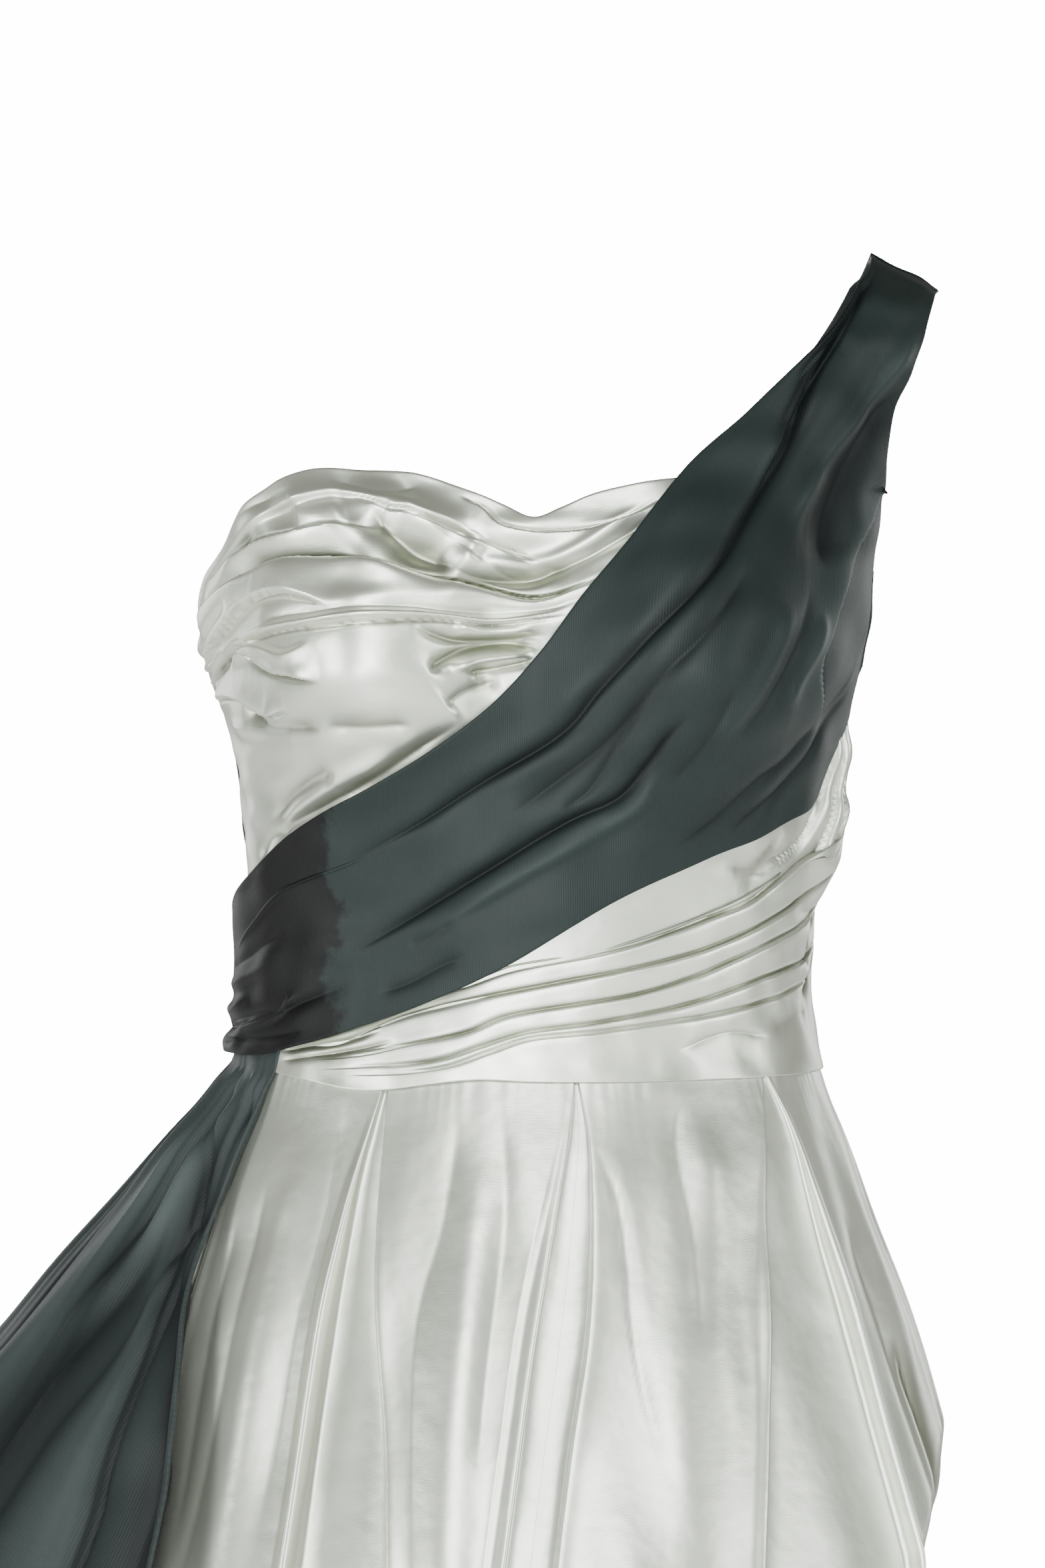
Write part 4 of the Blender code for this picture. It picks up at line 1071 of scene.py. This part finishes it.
def build_fall(context, settings):
    """Gathered hip fall in two layers."""
    # The hip fall's faille is made lighter as painted light
    faille = faille_material("Ribbed faille, hip fall", context.scene.gown_faille, lift=FALL_PAINTED_LIGHT)
    drops = spaced((0.001, 0.0018), (0.23, 0.008), (0.45, 0.02), FALL_LENGTH)
    share = spaced((0.0, 0.0045), 1.0)
    shares, grid_drops = np.meshgrid(share, drops)
    for name in ("hip_fall_front", "hip_fall_back"):
        front_layer = name == "hip_fall_front"
        if front_layer:
            first = np.full_like(grid_drops, FALL_SPLIT)
            last = read_curve(FALL, 2, grid_drops)
        else:
            first = read_curve(FALL, 3, grid_drops)
            inner = FALL_INNER_START - FALL_SPLIT + FALL_OVERLAP
            last = FALL_SPLIT - FALL_OVERLAP + inner * smooth(0.05, 0.16, grid_drops)
        angles = first + (last - first) * shares
        extra = fall_fullness(shares, grid_drops, 0.10 if front_layer else 0.55)
        folds = creases(FALL_CREASES, angles, grid_drops, FALL_METRES_PER_DEGREE, settings.fold_height)
        # Painted shade in the front layer's folds and painted highlight on their crests; painted shade all
        # over the inner layer under it
        shade = painted_fold_shade(folds if front_layer else 0.3 * folds - 0.001, FALL_FULL_FOLD)
        if front_layer:
            extra += folds
        else:
            rise = smooth(-FALL_SPLIT - 1.0, -FALL_SPLIT + 12.0, -angles)
            extra = 0.5 * extra + (0.012 * rise - 0.026 * (1.0 - rise)) * smooth(0.01, 0.12, grid_drops)
        gathers = np.sin(angles * 1.5 + 2.0 * np.sin(angles * 0.5)) * np.exp(-grid_drops / 0.07)
        extra += 0.0018 * gathers * smooth(0.0, 0.01, grid_drops)
        extra += 0.0012 * undulation(angles * FALL_METRES_PER_DEGREE, grid_drops * 0.5, 0.020, 41)
        points = fall_points(angles, grid_drops, extra)
        top = on_figure(angles[:1], np.full_like(angles[:1], 0.008), np.full_like(angles[:1], FALL_TOP_OFF))
        points = np.concatenate([top, points])[::-1]
        ribs = np.stack([angles * FALL_RIB_SCALE, grid_drops], axis=-1)
        ribs, shade = (np.concatenate([grid[:1], grid])[::-1] for grid in (ribs, shade))
        add_piece(name, faille, points, edges=("left", "right"), radius=0.0010, ribs=ribs,
                  shade=shade)


def add_soft_box(name, place, size, power):
    """Soft box aimed at the middle of the gown's waist seam."""
    data = bpy.data.lights.new(name, "AREA")
    data.shape = "RECTANGLE"
    data.size, data.size_y = size
    data.energy = power
    data.color = SOFT_BOX_COLOUR
    light = bpy.data.objects.new(name, data)
    light.location = place
    light.rotation_euler = (-Vector(place)).to_track_quat("-Z", "Y").to_euler()
    bpy.context.scene.collection.objects.link(light)


def add_plain_plane(name, size, place, turn, grey, glow):
    """Stage plane with a plain finish."""
    material, _, _, shader = new_material(name)
    set_inputs(shader, Roughness=0.8, Base_Color=(grey, grey, grey, 1.0))
    set_inputs(shader, Emission_Color=(1.0, 1.0, 1.0, 1.0), Emission_Strength=glow)
    bpy.ops.mesh.primitive_plane_add(size=1.0, location=place, rotation=turn)
    plane = bpy.context.object
    plane.name = name
    plane.scale = (*size, 1.0)
    plane.data.materials.append(material)


def build_stage(context, settings):
    """Pale floor and backdrop, soft studio light and the camera of a close-up."""
    floor = -SKIRT_LENGTH - FLOOR_GAP
    add_plain_plane("Floor", (8.0, 10.8), (0.0, 0.4, floor), (0.0, 0.0, 0.0), 0.86, 0.5)
    add_plain_plane("Backdrop", (3.4, 4.8), (0.0, 16.0, -0.36), (math.pi / 2, 0.0, 0.0), 0.9, 15.0)
    for name, place, size, power in SOFT_BOXES:
        add_soft_box(name, place, size, getattr(settings, power))
    world = bpy.data.worlds.new("Studio")
    world.use_nodes = True
    set_inputs(world.node_tree.nodes["Background"], Color=ROOM_COLOUR, Strength=settings.room_light)
    context.scene.world = world
    data = bpy.data.cameras.new("Close-up")
    camera = bpy.data.objects.new("Close-up", data)
    camera.location = (CAMERA_X, -settings.camera_distance, CAMERA_HEIGHT)
    view = Vector((CAMERA_X, 0.0, CAMERA_AIM)) - camera.location
    camera.rotation_euler = view.to_track_quat("-Z", "Y").to_euler()
    data.sensor_width = SENSOR_WIDTH
    data.lens = SENSOR_WIDTH * view.length / (IMAGE_HEIGHT * METRES_PER_PIXEL)
    context.scene.collection.objects.link(camera)
    context.scene.camera = camera


class SatinSettings(bpy.types.PropertyGroup):
    """Pale silk satin."""
    colour: FloatVectorProperty(name="Colour", description="Linear colour of the satin", subtype="COLOR",
                                size=3, min=0.0, max=1.0, default=(0.62, 0.64, 0.56))
    roughness: FloatProperty(name="Roughness", description="Softness of the satin's shine",
                             min=0.0, max=1.0, default=0.40, subtype="FACTOR")


class FailleSettings(bpy.types.PropertyGroup):
    """Dark ribbed faille."""
    colour: FloatVectorProperty(name="Colour", description="Linear colour of the faille", subtype="COLOR",
                                size=3, min=0.0, max=1.0, default=(0.0110, 0.0164, 0.0155))
    crushed_colour: FloatVectorProperty(name="Crushed colour", description="Colour where the ribs are flat",
                                        subtype="COLOR", size=3, min=0.0, max=1.0,
                                        default=(0.0030, 0.0032, 0.0031))
    roughness: FloatProperty(name="Roughness", description="Softness of the faille's shine",
                             min=0.0, max=1.0, default=0.5, subtype="FACTOR")
    rib_scale: FloatProperty(name="Rib density", description="Ribs along the cloth, as wave scale",
                             min=10.0, max=1000.0, default=330.0)


class BodiceSettings(bpy.types.PropertyGroup):
    """Ruched bodice."""
    ruche_height: FloatProperty(name="Ruche height", description="Height of the bust's folds, as a share",
                                min=0.0, max=3.0, default=1.35)


class SwatheSettings(bpy.types.PropertyGroup):
    """Waist swathe."""
    pleat_height: FloatProperty(name="Pleat height", description="Height of the knife pleats, as a share",
                                min=0.0, max=3.0, default=1.0)


class SashSettings(bpy.types.PropertyGroup):
    """Sash."""
    fold_height: FloatProperty(name="Fold height", description="Height of the sash's folds, as a share",
                               min=0.0, max=3.0, default=0.75)


class SkirtSettings(bpy.types.PropertyGroup):
    """Skirt."""
    fold_height: FloatProperty(name="Fold height", description="Height of the soft folds, as a share",
                               min=0.0, max=3.0, default=1.0)


class FallSettings(bpy.types.PropertyGroup):
    """Hip fall."""
    fold_height: FloatProperty(name="Fold height", description="Depth of the fall's creases, as a share",
                               min=0.0, max=3.0, default=1.0)


class StageSettings(bpy.types.PropertyGroup):
    """Light and camera."""
    camera_distance: FloatProperty(name="Camera distance", description="From the gown's middle",
                                   unit="LENGTH", min=0.5, default=3.2)
    key_power: FloatProperty(name="Key light", description="Power of the main soft box in watts",
                             min=0.0, default=118.0, unit="POWER")
    left_power: FloatProperty(name="Left light", description="Power of the soft box on the left in watts",
                              min=0.0, default=85.0, unit="POWER")
    right_power: FloatProperty(name="Right light", description="Power of the soft box on the right in watts",
                               min=0.0, default=60.0, unit="POWER")
    high_power: FloatProperty(name="High light", description="Power of the high soft box in watts",
                              min=0.0, default=88.0, unit="POWER")
    low_power: FloatProperty(name="Low light", description="Power of the low soft box in watts",
                             min=0.0, default=30.0, unit="POWER")
    back_power: FloatProperty(name="Back light", description="Power of each soft box behind in watts",
                              min=0.0, default=30.0, unit="POWER")
    room_light: FloatProperty(name="Room light", description="Strength of the light from all round",
                              min=0.0, default=0.12)


class GOWN_OT_bodice(bpy.types.Operator):
    """Make the ruched bodice, its backs and the lap over the closure"""
    bl_idname = "gown.bodice"
    bl_label = "Bodice"

    def execute(self, context):
        build_bodice(context, context.scene.gown_bodice)
        return {"FINISHED"}


class GOWN_OT_swathe(bpy.types.Operator):
    """Make the pleated waist swathe, front and back"""
    bl_idname = "gown.swathe"
    bl_label = "Waist swathe"

    def execute(self, context):
        build_swathe(context, context.scene.gown_swathe)
        return {"FINISHED"}


class GOWN_OT_skirt(bpy.types.Operator):
    """Make the four skirt gores with inverted pleats"""
    bl_idname = "gown.skirt"
    bl_label = "Skirt"

    def execute(self, context):
        build_skirt(context, context.scene.gown_skirt)
        return {"FINISHED"}


class GOWN_OT_sash(bpy.types.Operator):
    """Make the faille sash, front and back"""
    bl_idname = "gown.sash"
    bl_label = "Sash"

    def execute(self, context):
        build_sash(context, context.scene.gown_sash)
        return {"FINISHED"}


class GOWN_OT_fall(bpy.types.Operator):
    """Make the two layers of the gathered hip fall"""
    bl_idname = "gown.fall"
    bl_label = "Hip fall"

    def execute(self, context):
        build_fall(context, context.scene.gown_fall)
        return {"FINISHED"}


class GOWN_OT_stage(bpy.types.Operator):
    """Make the floor, backdrop, soft light and camera"""
    bl_idname = "gown.stage"
    bl_label = "Stage"

    def execute(self, context):
        build_stage(context, context.scene.gown_stage)
        return {"FINISHED"}


class GOWN_PT_panel(bpy.types.Panel):
    """Sidebar list of the gown's pieces"""
    bl_idname = "GOWN_PT_panel"
    bl_label = "Ball gown"
    bl_space_type = "VIEW_3D"
    bl_region_type = "UI"
    bl_category = "Gown"

    def draw(self, context):
        for name, step in STEPS:
            box = self.layout.box()
            box.operator(step.bl_idname)
            settings = getattr(context.scene, name)
            for key in settings.__annotations__:
                box.prop(settings, key)


STEPS = (
    ("gown_bodice", GOWN_OT_bodice),
    ("gown_swathe", GOWN_OT_swathe),
    ("gown_skirt", GOWN_OT_skirt),
    ("gown_sash", GOWN_OT_sash),
    ("gown_fall", GOWN_OT_fall),
    ("gown_stage", GOWN_OT_stage),
)
SETTINGS = {
    "gown_satin": SatinSettings,
    "gown_faille": FailleSettings,
    "gown_bodice": BodiceSettings,
    "gown_swathe": SwatheSettings,
    "gown_skirt": SkirtSettings,
    "gown_sash": SashSettings,
    "gown_fall": FallSettings,
    "gown_stage": StageSettings,
}


def register():
    """Register the settings, steps and panel."""
    for name, group in SETTINGS.items():
        bpy.utils.register_class(group)
        setattr(bpy.types.Scene, name, PointerProperty(type=group))
    for _, step in STEPS:
        bpy.utils.register_class(step)
    bpy.utils.register_class(GOWN_PT_panel)


def unregister():
    """Take away what register added."""
    bpy.utils.unregister_class(GOWN_PT_panel)
    for _, step in reversed(STEPS):
        bpy.utils.unregister_class(step)
    for name, group in reversed(SETTINGS.items()):
        delattr(bpy.types.Scene, name)
        bpy.utils.unregister_class(group)


def main():
    """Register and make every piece."""
    register()
    bpy.ops.gown.bodice()
    bpy.ops.gown.swathe()
    bpy.ops.gown.skirt()
    bpy.ops.gown.sash()
    bpy.ops.gown.fall()
    bpy.ops.gown.stage()
    bpy.context.view_layer.update()


if __name__ == "__main__":
    main()
